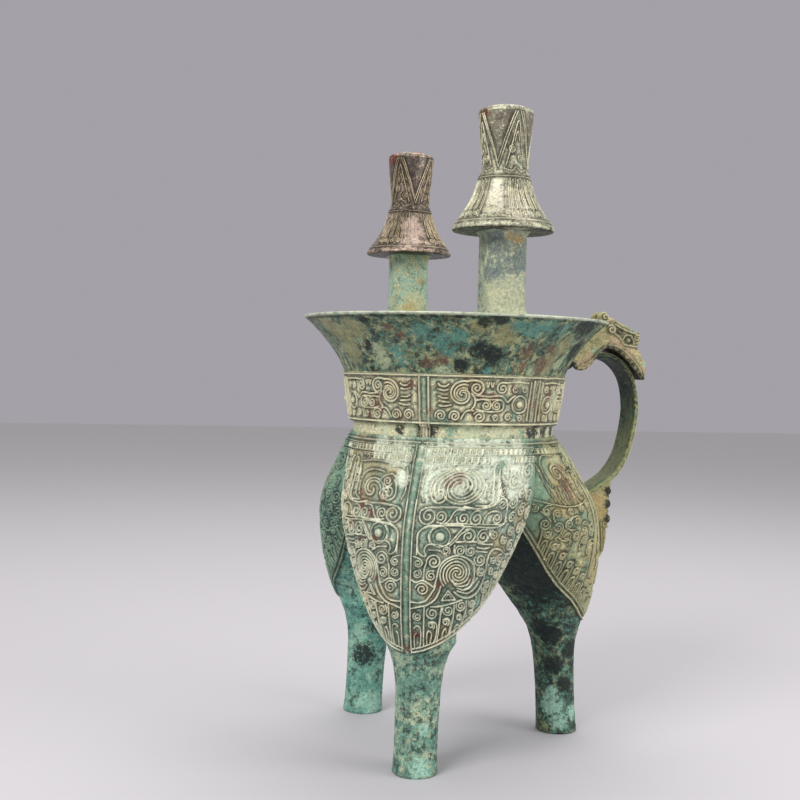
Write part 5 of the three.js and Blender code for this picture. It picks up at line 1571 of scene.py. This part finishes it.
strap_room = [(x + 0.2, z + 0.2) for x, z in strap_line[:-1] if z > 150] + [(50, 178), (50, 150)]
horns = [((72.2, side * 3.4, 197.0), (2.7, 3.6, 2.8)) for side in (-1, 1)]
horns += [((75.0, side * 5.0, 195.2), (2.6, 3.4, 1.7)) for side in (-1, 1)]
snouts = [((87.0, side * 6.2, 187.6), (2.7, 3.6, 2.6)) for side in (-1, 1)]
snouts += [((87.6, 0, 186.8), (2.3, 4.0, 2.6))]
snouts += [((90.3, side * 8.6, 174.6), (2.2, 2.3, 3.0)) for side in (-1, 1)]
brow_places = [(77.2 + 3.0 * i, 193.2 - 1.35 * i) for i in range(4)]
brows = [((x, side * 9.4, z), (2.6, 1.9, 1.5)) for x, z in brow_places for side in (-1, 1)]
ears = [((73.3, side * 10.6, 191.2), (2.5, 1.4, 2.4)) for side in (-1, 1)]
lips = [((58.6, side * 9.9, 173.0), (3.4, 1.7, 1.5)) for side in (-1, 1)]
head_blank = plate("head_blank", HEAD_OUTLINE, HEAD_HALF - 0.3)
head_mesh = modelled("head_skin", [head_blank, domes("head_knobs", horns + snouts + brows + ears + lips)],
                     [plate("strap_room", strap_room, STRAP_HALF + 0.3), flare_core(0.9)], 0.34, 5)
HEAD_STROKES = [
    (spiral(73.3, 191.2, 2.1, 130, -1.25, 0.6), 0.42),
    (flowing((75.0, 189.4), (77.9, 187.5), (80.0, 184.6), (83.9, 183.8), (86.6, 183.4)), 0.45),
    (flowing((79.6, 186.6), (80.9, 188.6), (83.4, 188.6), (84.9, 186.6), (85.2, 184.5)), 0.4),
    (flowing((75.4, 193.6), (79.4, 191.6), (83.4, 190.2), (86.2, 189.4)), 0.42),
    (spiral(72.2, 197.0, 1.9, 200, 1.3, 0.5), 0.4),
    (flowing((70.6, 182.9), (67.6, 180.6), (64.8, 177.8), (62.0, 175.4), (58.8, 174.2)), 0.34),
    (flowing((72.6, 183.9), (76.2, 183.5), (80.6, 181.2), (84.6, 177.8), (88.2, 173.8), (90.0, 170.2)),
     0.34),
    (spiral(86.9, 187.5, 1.7, 30, 1.2, 0.4), 0.36),
    (flowing((77.4, 190.6), (78.6, 189.6)), 0.3),
]
head_lines = drawing("head_lines", HEAD_STROKES)
eye_balls = drawing("eye_balls", [([(82.3, 186.3)], 1.1)], bosses=True)
# Places along the edge of the jaws, where shade is painted dark
LIP_EDGE = [(91, 168.6), (89.2, 170.4), (87.4, 172.4), (85.4, 174.9), (83.2, 177.2), (80.8, 179.2),
            (78.2, 181), (75.4, 182.3), (72.4, 182.6), (69.8, 181.3), (67.6, 179.2), (65.8, 176.8),
            (64, 174.4), (61.6, 172.6), (58.6, 171.9), (55.8, 172.8)]
LIP_SHADOW = [(x, side * 10.6, z, 1.5) for side in (-1, 1) for x, z in LIP_EDGE]
EYE_HOLLOWS = [(82.6, 186.6, 3.0), (77.8, 190.2, 2.2)]
EYE_SHADOW = [(x, side * 11, z, radius) for x, z, radius in EYE_HOLLOWS for side in (-1, 1)]
HEAD_SPOTS = {
    # Painted shade in the eyes, along the edge of the jaws and at the nape
    "deep": [*EYE_SHADOW, *LIP_SHADOW, (54.8, -11, 174, 2.2)],
    "teal": [(87, -7, 187.8, 4.2), (87, 7, 187.8, 4.2), (91, -9, 174.6, 3.4), (91, 9, 174.6, 3.4),
             (84.5, -10, 191, 3.0), (84, -3, 192, 5), (86, 3, 190, 6), (66, -11, 181, 2.5)],
    "rust": [(62.5, -11, 176.5, 5), (59, -11, 174.5, 3.5), (74.5, -11, 186.3, 3.2),
             (72.8, -11, 196.5, 3.0), (89.5, -11, 173, 3), (78, -11, 184.6, 3.4),
             (83.6, -11, 180.2, 4.4)],
}
places = side_view(head_mesh, HEAD_SPOTS)
# The faces inside the jaws, below a line from the nape to the snout, are painted dark too, as their shade
under_jaw = places[:, 2] < np.interp(places[:, 0], [52, 72, 78, 84, 92], [180, 186, 184, 179, 170])
jaw_shade = np.clip((8.9 - np.abs(places[:, 1])) / 0.4, 0, 1) * under_jaw
deep = np.empty(len(places))
head_mesh.attributes["deep"].data.foreach_get("value", deep)
head_mesh.attributes["deep"].data.foreach_set("value", np.maximum(deep, jaw_shade * 0.9))
head_finish = bronze("head_bronze", ((148, 142, 100), (184, 176, 132), (104, 104, 72), (124, 146, 112)),
                     (0.5, 0.3, 0.3), blotch=90, ridge=(206, 202, 166), hollow=(54, 54, 40),
                     rust=(190, 166, 132), teal=(142, 184, 156), rough=(0.5, 0.8), bump=0.5)
head = cast("head_cast", head_mesh, head_finish, head_lines, eye_balls, ridge_height=0.45,
            hollow_depth=0.25, wander=0.2, casting_waves=0.3, pitting=0.15)
crisp(head)
joined_to(head, "head_bronze", "beast_head")

# Handle tail: a fin under the foot of the strap, cast with it. Three round knobs with beads
# between them stud its outer edge, and it hooks back to the pouch at the tip. Ochre, with dark knobs.

TAIL_HALF = 5.3
TAIL_OUTLINE = [(80.0, 122.0), (78.2, 118.8), (77.4, 114.5), (76.6, 108.3), (76.6, 101.0), (76.2, 96.3),
                (76.6, 92.0), (75.4, 86.0), (73.6, 83.0), (70.9, 81.7), (66.5, 81.4), (63.5, 84.0),
                (61.0, 96.0), (58.5, 107.0), (60.0, 110.6), (71.6, 117.0)]
KNOB_HEIGHTS = (114.4, 108.2, 101.0)
knobs = [((76.8, side * 2.4, z), (2.5, 3.0, 2.5)) for z in KNOB_HEIGHTS for side in (-1, 1)]
beads = [((77.4, side * 2.6, z), (1.2, 1.3, 1.0)) for z in (111.4, 104.6, 97.4) for side in (-1, 1)]
tail_blank = plate("tail_blank", TAIL_OUTLINE, TAIL_HALF - 0.2)
tail_mesh = modelled("tail_skin", [tail_blank, domes("tail_knobs", knobs + beads)], [], 0.28, 4)
TAIL_STROKES = [
    (flowing((70.9, 99.0), (71.7, 93.3), (72.4, 86.0)), 0.4),
    (flowing((73.6, 99.4), (74.2, 93.0), (74.4, 86.6)), 0.36),
    (flowing((68.6, 104), (69.4, 98.0), (69.8, 91.0), (70.2, 84.0)), 0.36),
    (flowing((75.4, 99.6), (74.6, 98.6), (75.8, 96.8)), 0.34),
]
tail_lines = drawing("tail_lines", TAIL_STROKES)
TAIL_SPOTS = {
    "deep": [(77.8, side * 4.0, z, 3.6) for z in KNOB_HEIGHTS for side in (-1, 1)],
    "teal": [(72.5, -5, 83, 4), (74.5, -5, 88, 3), (76.8, -4, 118, 2.5), (74, -5, 94, 2.5),
             (74, 5, 88, 4)],
    "rust": [(70, -5, 110, 6), (72, -5, 104, 5), (70, -5, 98, 4), (66, -5, 108, 4), (71, -5, 90, 2.5),
             (70, 5, 108, 6)],
}
side_view(tail_mesh, TAIL_SPOTS)
tail_finish = bronze("tail_bronze", ((158, 146, 100), (184, 174, 128), (112, 108, 74), (132, 150, 108)),
                     (0.5, 0.3, 0.3), blotch=90, ridge=(200, 196, 150), hollow=(96, 88, 60),
                     rust=(180, 158, 108), teal=(168, 178, 112), rough=(0.55, 0.85), bump=0.6)
tail = cast("tail_cast", tail_mesh, tail_finish, tail_lines, ridge_height=0.4, casting_waves=0.4,
            wander=0.3, pitting=0.2)
crisp(tail)
joined_to(tail, "head_bronze", "handle_tail")

# Clay cores: baked casting clay left inside the hollow legs and caps, rough, sandy and brown.

CORES = ("front_leg_core", "back_leg_core", "handle_side_leg_core", "near_post_cap_core",
         "far_post_cap_core")
SANDY_CLAY = (150, 118, 90)
BURNT_CLAY = (104, 80, 62)
clay = bpy.data.materials.new("casting_clay")
clay.use_nodes = True
clay_tree = clay.node_tree
clay_place = node(clay_tree, "ShaderNodeTexCoord").outputs["Object"]
clay_cloud = cloud(clay_tree, clay_place, 220, 6, 0.7)
clay_share = window(clay_tree, clay_cloud, 0.35, 0.65)
clay_color = mixed(clay_tree, clay_share, tone(*SANDY_CLAY), tone(*BURNT_CLAY))
clay_surface = clay_tree.nodes["Principled BSDF"]
clay_tree.links.new(clay_color, clay_surface.inputs["Base Color"])
clay_surface.inputs["Roughness"].default_value = 0.92
clay_bump = node(clay_tree, "ShaderNodeBump", {"Height": clay_cloud, "Strength": 0.5, "Distance": 0.0005})
clay_tree.links.new(clay_bump.outputs["Normal"], clay_surface.inputs["Normal"])
for core in CORES:
    for held in bpy.data.objects[core].material_slots:
        held.material = clay

# The drawings have been cast, so they leave the scene
for drawn in [o for o in bpy.data.objects if "half_width" in getattr(o.data, "attributes", {})]:
    bpy.data.objects.remove(drawn)
